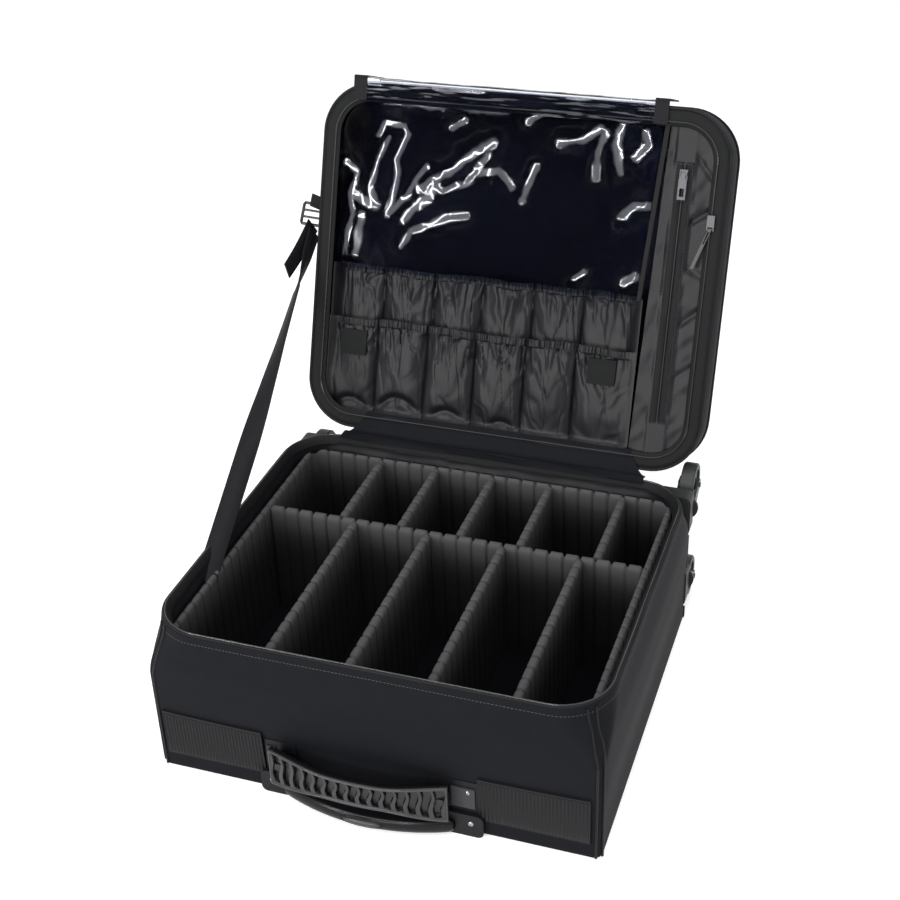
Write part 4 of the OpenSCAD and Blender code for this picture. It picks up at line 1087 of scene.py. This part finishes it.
rows = sheet_rows(side_columns, np.linspace(SIDE_LOW, SIDE_HIGH, 220), side_depth, 0.8)
side = build("side_panel_satin", *skin(lid(rows), caps=False), pocket_satin, "lid", "satin_lining", 75)
parts = []
for x0, x1 in ((ZIP_X - 8.5, ZIP_X - 1.0), (ZIP_X + 1.0, ZIP_X + 8.5)):
    ring = ((x0, 2.9), (x0 + 0.8, 2.3), (x1 - 0.8, 2.3), (x1, 2.9), (x1, 3.8), (x0, 3.8))
    rows = [[(x, h, d + 0.25 * float(lattice(h / 16, x, 81))) for x, d in ring]
            for h in np.linspace(ZIP_LOW, ZIP_HIGH, 90)]
    parts.append(skin(lid(rows)))
side_zip = build("side_zip_tape", *joined(parts), tape, "lid", "zip_tape")
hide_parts("pocket_zip_tape")
coil(lid([(ZIP_X, h, 2.2) for h in np.linspace(50, 304, 60)]), "side_zip_coil", "lid", False)
box = [(ZIP_X - 8, 49, 2.0), (ZIP_X - 8, 304, 2.0), (ZIP_X + 8, 304, 2.0), (ZIP_X + 8, 49, 2.0)]
stitches(lid(box), "side_zip_stitches", "lid", 0.28)
zinc = Finish("zinc_pull", (0.075, 0.075, 0.08), 0.42, Metallic=1.0)
for node in ("pocket_slider", "pocket_pull", "main_slider"):
    dress(node, zinc, 0.5)
black_cord = Finish("pull_cord", (0.03, 0.03, 0.031), 0.45)
dress("main_pull", black_cord, 0.5)

# Hinge gusset: a strip of the same black cloth, sewn to the rear rim and to the lid, with soft folds
# between them. It bends across the lid's hinge and narrows at both ends.
GUSSET_X, GUSSET_TAPER_X, GUSSET_TAPER = 162.0, 140.0, 0.62
GUSSET_SECTION = np.array([(170, 161.6), (176, 162.4), (180, 163.4), (183, 161.4), (186.5, 160.0),
                           (190, 162.0), (193, 165.5), (195.5, 169.5), (198.5, 173.0), (201.0, 179.0)])
walk = np.linspace(0, 1, len(GUSSET_SECTION))
rows = []
for x in np.linspace(-GUSSET_X, GUSSET_X, 150):
    reach = 1 - GUSSET_TAPER * smooth((abs(x) - GUSSET_TAPER_X) / (GUSSET_X - GUSSET_TAPER_X))
    fine = np.linspace(0, reach, 34)
    ys, zs = (np.interp(fine, walk, column) for column in GUSSET_SECTION.T)
    lift = 1.0 * lattice(x / 40 + fine * 3, fine * 6, 91) + 0.8 * lattice(x / 110, fine * 11, 92)
    front = np.column_stack([np.full(34, x), ys, zs + lift])
    rows.append(np.vstack([front, front[::-1] - (0, 0, 1.0)]))
gusset = build("hinge_gusset", *skin(rows), fabric, None, "fabric_black", 80)
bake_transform(gusset)
dress("hinge_strip", piping_finish)
dress("lid_hinge_leaf", piping_finish)

# Stay strap: flat black webbing that holds the lid open, from the lid's buckle into the gap at the
# tub's side. It turns edge-on halfway.
STRAP_W, STRAP_THICK = 20.0, 1.3
STRAP_LOW, STRAP_HIGH = np.array((-198.7, -78.3, 141.5)), np.array((-222.0, 277.0, 343.5))
TURN_AT = (0, 0.33, 0.51, 0.66, 0.74, 0.82, 0.86, 0.93, 1)
TURN_BY = (0, 0, 41, 66, 74, 80, 98, 122, 130)
WEBBING_SECTION = ((-1, -0.4), (-0.96, -1), (0.96, -1), (1, -0.4), (1, 0.4), (0.96, 1), (-0.96, 1),
                   (-1, 0.4))
strap_finish = Finish("webbing_black", (0.008, 0.008, 0.0095), 0.6, Specular_IOR_Level=0.12)
strap_finish.bump(strap_finish.noise(800.0, 2.0), 0.4, 0.0004)


def webbing_run(points, twist, width, thick):
    """Points and faces of a flat strap through points, turning about its own line."""
    path = np.asarray(points, float)
    ahead = np.gradient(path, axis=0)
    ahead /= np.linalg.norm(ahead, axis=1)[:, None]
    rows = []
    for p, a, angle in zip(path, ahead, twist):
        level = np.cross(a, (1.0, 0.0, 0.0))
        level /= np.linalg.norm(level)
        flat = np.cross(level, a)
        across = level * math.cos(angle) + flat * math.sin(angle)
        face = np.cross(a, across)
        ring = []
        for u, v in WEBBING_SECTION:
            ring.append(p + across * u * width / 2 + face * v * thick / 2)
        rows.append(ring)
    return skin(rows)


ts = np.linspace(0, 1, 90)
path = STRAP_LOW + (STRAP_HIGH - STRAP_LOW) * ts[:, None]
path[:, 2] -= 2.0 * np.sin(ts * math.pi)
turned = np.radians(64.7 + np.interp(ts, TURN_AT, TURN_BY))
made = webbing_run(path, turned, STRAP_W, STRAP_THICK)
stay = build("stay_webbing", *made, strap_finish, "base", "webbing_black", 50)
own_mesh(stay)
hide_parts("stay_strap")

# Strap hardware on the lid's left side: a black plastic buckle with two inner bars, held by a webbing
# loop that is sewn to the lid. The strap's loose tail hangs down from it.
BUCKLE_HALF, BUCKLE_R, BAR_R, BAR_SHARES, BUCKLE_TURN = 13.0, 1.7, 1.3, (0.34, 0.66), 76.0
buckle_finish = Finish("buckle_black", (0.012, 0.012, 0.013), 0.32, Specular_IOR_Level=0.4)
low, high = np.array((-225.5, 283.5, 348.6)), np.array((-225.5, 297.5, 366.4))
along = (high - low) / np.linalg.norm(high - low)
level = np.cross(along, (1.0, 0.0, 0.0))
level /= np.linalg.norm(level)
turn = math.radians(BUCKLE_TURN)
across = level * math.cos(turn) + np.cross(level, along) * math.sin(turn)
edge = across * BUCKLE_HALF
path = [low + across * 9.5, low + across * 12, low + edge + along * 2, high + edge - along * 2,
        high + across * 12, high + across * 9.5]
path += [p - across * 2 * float((p - low) @ across) for p in path[::-1]]
parts = [tube(path, BUCKLE_R, 8, True)]
for share in BAR_SHARES:
    at = low + (high - low) * share
    parts.append(tube([at - across * 12.4, at, at + across * 12.4], BAR_R, 8))
buckle = build("strap_buckle", *joined(parts), buckle_finish, "lid", "buckle_black")
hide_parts("strap_hardware")
run = np.linspace((-224.0, 294.5, 363.0), (-214.0, 281.0, 382.5), 12)
loop = webbing_run(run, np.full(12, math.radians(96.0)), 17.0, 1.4)
run = np.linspace((-225.0, 282.0, 349.0), (-228.0, 215.9, 325.0), 24)
run[:, 2] -= 2.0 * np.sin(np.linspace(0, math.pi, 24))
tail = webbing_run(run, np.radians(np.linspace(162, 174, 24)), 19.0, 1.3)
build("strap_tail", *joined([loop, tail]), strap_finish, "lid", "webbing_black", 50)

# Clear flap: a clear film whose hem is sewn over the lid's mouth and whose skirt lies back over the
# top edge. A tab of black webbing holds it at each end.
FLAP_L, FLAP_R, FLAP_THICK = -172.0, 135.0, 0.3
HEM_SECTION = ((338, -1.0), (346, -1.2), (354, -1.3), (359, -1.1))
SKIRT_SECTION = ((361.5, -2.4), (362.6, 0), (362.6, 20), (362.2, 47.5))
TAB_ENDS = ((FLAP_L - 8, FLAP_L + 6), (FLAP_R - 4, FLAP_R + 10))
TAB_TOP = ((361, -3.4), (364.0, -2.6), (364.4, 0), (364.0, 47), (362.4, 47.4), (362.6, 1), (361.4, -1.4))
TAB_FOOT = ((340, -1.9), (352, -2.5), (361, -2.9), (361.5, -1.7), (352, -1.3), (340, -0.7))
flap_clear = Finish("flap_film", (0.86, 0.89, 0.92), 0.09, Transmission_Weight=1.0, IOR=1.45)


def flap_strip(section, facing, seed, loose):
    """A film across the lid: its section as (h, d) points, and the way it faces in (x, h, d)."""
    section = np.array(section, float)
    walk = np.concatenate([[0], np.cumsum(np.hypot(*np.diff(section, axis=0).T))])
    at = np.linspace(0, walk[-1], 60)
    hs, ds = np.interp(at, walk, section[:, 0]), np.interp(at, walk, section[:, 1])
    rows = []
    for x in np.linspace(FLAP_L, FLAP_R, 180):
        wave = 0.7 * lattice(x / 34 + at / 60, at / 23, seed) + 0.4 * lattice(x / 12, at / 30, seed + 1)
        front = np.column_stack([np.full(60, x), hs, ds]) - np.outer(loose * wave, facing)
        rows.append(np.vstack([front, front[::-1] + np.multiply(facing, FLAP_THICK)]))
    return skin(lid(rows))


def tab_pair(section):
    """Both webbing tabs, from their section as (h, d) points."""
    parts = []
    for x0, x1 in TAB_ENDS:
        rows = [[(x, h, d) for h, d in section] for x in (x0, x0 + 0.5, x1 - 0.5, x1)]
        parts.append(skin(lid(rows)))
    return joined(parts)


made = flap_strip(HEM_SECTION, (0, 0, -1), 101, 0.3)
hem = build("flap_front_hem", *made, clear, "lid", "clear_sheet", 180)
x, h = unlid(spots(hem))
streak = lattice(x / 26, h / 1.9, 103) + 0.5 * lattice(x / 9, h / 1.1, 104)
mark(hem, "crease", smooth((streak - 0.35) / 0.3))
made = flap_strip(SKIRT_SECTION, (0, -1, 0), 111, 0.8)
skirt = build("flap_skirt_film", *made, flap_clear, "flap_top", "clear_sheet", 180)
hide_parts("flap_skirt")
build("flap_tabs", *tab_pair(TAB_TOP), strap_finish, "flap_top", "webbing_black")
build("flap_tab_feet", *tab_pair(TAB_FOOT), strap_finish, "lid", "webbing_black")

# Hanging sheet: the rest of the clear flap, which hangs straight down behind the lid from the
# skirt's edge, with slow waves.
SHEET_DROP, SHEET_THICK = 200.0, 0.35
fold = lid(np.array([[0.0, 362.0, 48.4]]))[0]
drop = np.linspace(0, SHEET_DROP, 90)
rows = []
for x in np.linspace(FLAP_L, FLAP_R, 140):
    wave = 2.4 * lattice(x / 46, drop / 150, 121) + lattice(x / 19, drop / 60, 122)
    wave = wave * smooth(drop / 60)
    front = np.column_stack([np.full(90, x), fold[1] + 0.5 + wave, fold[2] - drop])
    rows.append(np.vstack([front, front[::-1] - (0, SHEET_THICK, 0)]))
hang = build("flap_hanging_film", *skin(rows), flap_clear, "flap_end", "clear_sheet", 180)
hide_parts("flap_sheet")

# Studio: a pale floor, a soft light above, and four narrow lights in front of the lid that show the
# film's creases. Floor and backdrop are white for the rays that see them, and dimmer as light.
FLOOR_GLOW, BACKDROP_DIM = 0.42, 0.52
CENTRE, LID_CENTRE = (0.0, 0.1, 0.2), (0.0, 0.29, 0.40)
LIGHTS = (
    ("top_light", (0.7, -0.2, 2.6), CENTRE, (1.6, 1.6), 36),
    ("left_strip", (-1.12, -1.73, 1.06), LID_CENTRE, (0.07, 1.2), 13),
    ("right_strip", (0.12, -2.01, 1.06), LID_CENTRE, (0.07, 1.2), 11),
    ("high_strip", (-0.57, -1.71, 1.60), LID_CENTRE, (1.2, 0.07), 12),
    ("low_strip", (-0.66, -2.01, 0.53), LID_CENTRE, (1.2, 0.07), 11),
)
bpy.ops.mesh.primitive_plane_add(size=14)
floor = bpy.context.object
floor.name = "floor"
paper = Finish("floor_paper", (0.92, 0.92, 0.92), 0.9, Specular_IOR_Level=0.0, Emission_Strength=1.0)
floor.data.materials.append(paper.material)


def background_rays(nodes):
    """1 for the rays that see the background, 0 for those that light the object."""
    seen = 0.0
    for ray in ("Is Camera Ray", "Is Glossy Ray", "Is Transmission Ray"):
        seen = seen + nodes.node("ShaderNodeLightPath", output=ray)
    return seen.math("MINIMUM", 1.0)


paper.set("Emission Color", background_rays(paper) * FLOOR_GLOW)

world = bpy.context.scene.world or bpy.data.worlds.new("World")
bpy.context.scene.world = world
world.use_nodes = True
backdrop = world.node_tree.nodes["Background"]
backdrop.inputs["Color"].default_value = (1, 1, 1, 1)
strength = 1.0 - (1.0 - background_rays(Nodes(world.node_tree))) * BACKDROP_DIM
feed(world.node_tree, backdrop.inputs["Strength"], strength)


for name, at, aim, size, power in LIGHTS:
    lamp = bpy.data.lights.new(name, "AREA")
    lamp.shape = "RECTANGLE"
    lamp.size, lamp.size_y = size
    lamp.energy = power
    made = bpy.data.objects.new(name, lamp)
    made.location = at
    made.rotation_mode = "QUATERNION"
    made.rotation_quaternion = (Vector(at) - Vector(aim)).to_track_quat("Z", "Y")
    bpy.context.scene.collection.objects.link(made)

# Camera: a long lens from the right of the handle face, looking down on the open case. Its yaw,
# pitch and roll are in degrees, its place in metres.
CAMERA_AT, CAMERA_TURN = (0.41934, -1.10452, 0.99671), (19.799, 31.516, -2.121)
yaw, pitch, roll = (math.radians(a) for a in CAMERA_TURN)
ahead = Vector((-math.sin(yaw) * math.cos(pitch), math.cos(yaw) * math.cos(pitch), -math.sin(pitch)))
level = Vector((math.cos(yaw), math.sin(yaw), 0.0))
up = level.cross(ahead)
right = level * math.cos(roll) + up * math.sin(roll)
up = up * math.cos(roll) - level * math.sin(roll)
lens = bpy.data.cameras.new("camera")
lens.lens = 61.70
lens.sensor_width = 36.0
lens.clip_start, lens.clip_end = 0.05, 50.0
camera = bpy.data.objects.new("camera", lens)
camera.matrix_world = Matrix.Translation(CAMERA_AT) @ Matrix((right, up, -ahead)).transposed().to_4x4()
bpy.context.scene.collection.objects.link(camera)
bpy.context.scene.camera = camera
bpy.context.scene.view_settings.view_transform = "Standard"
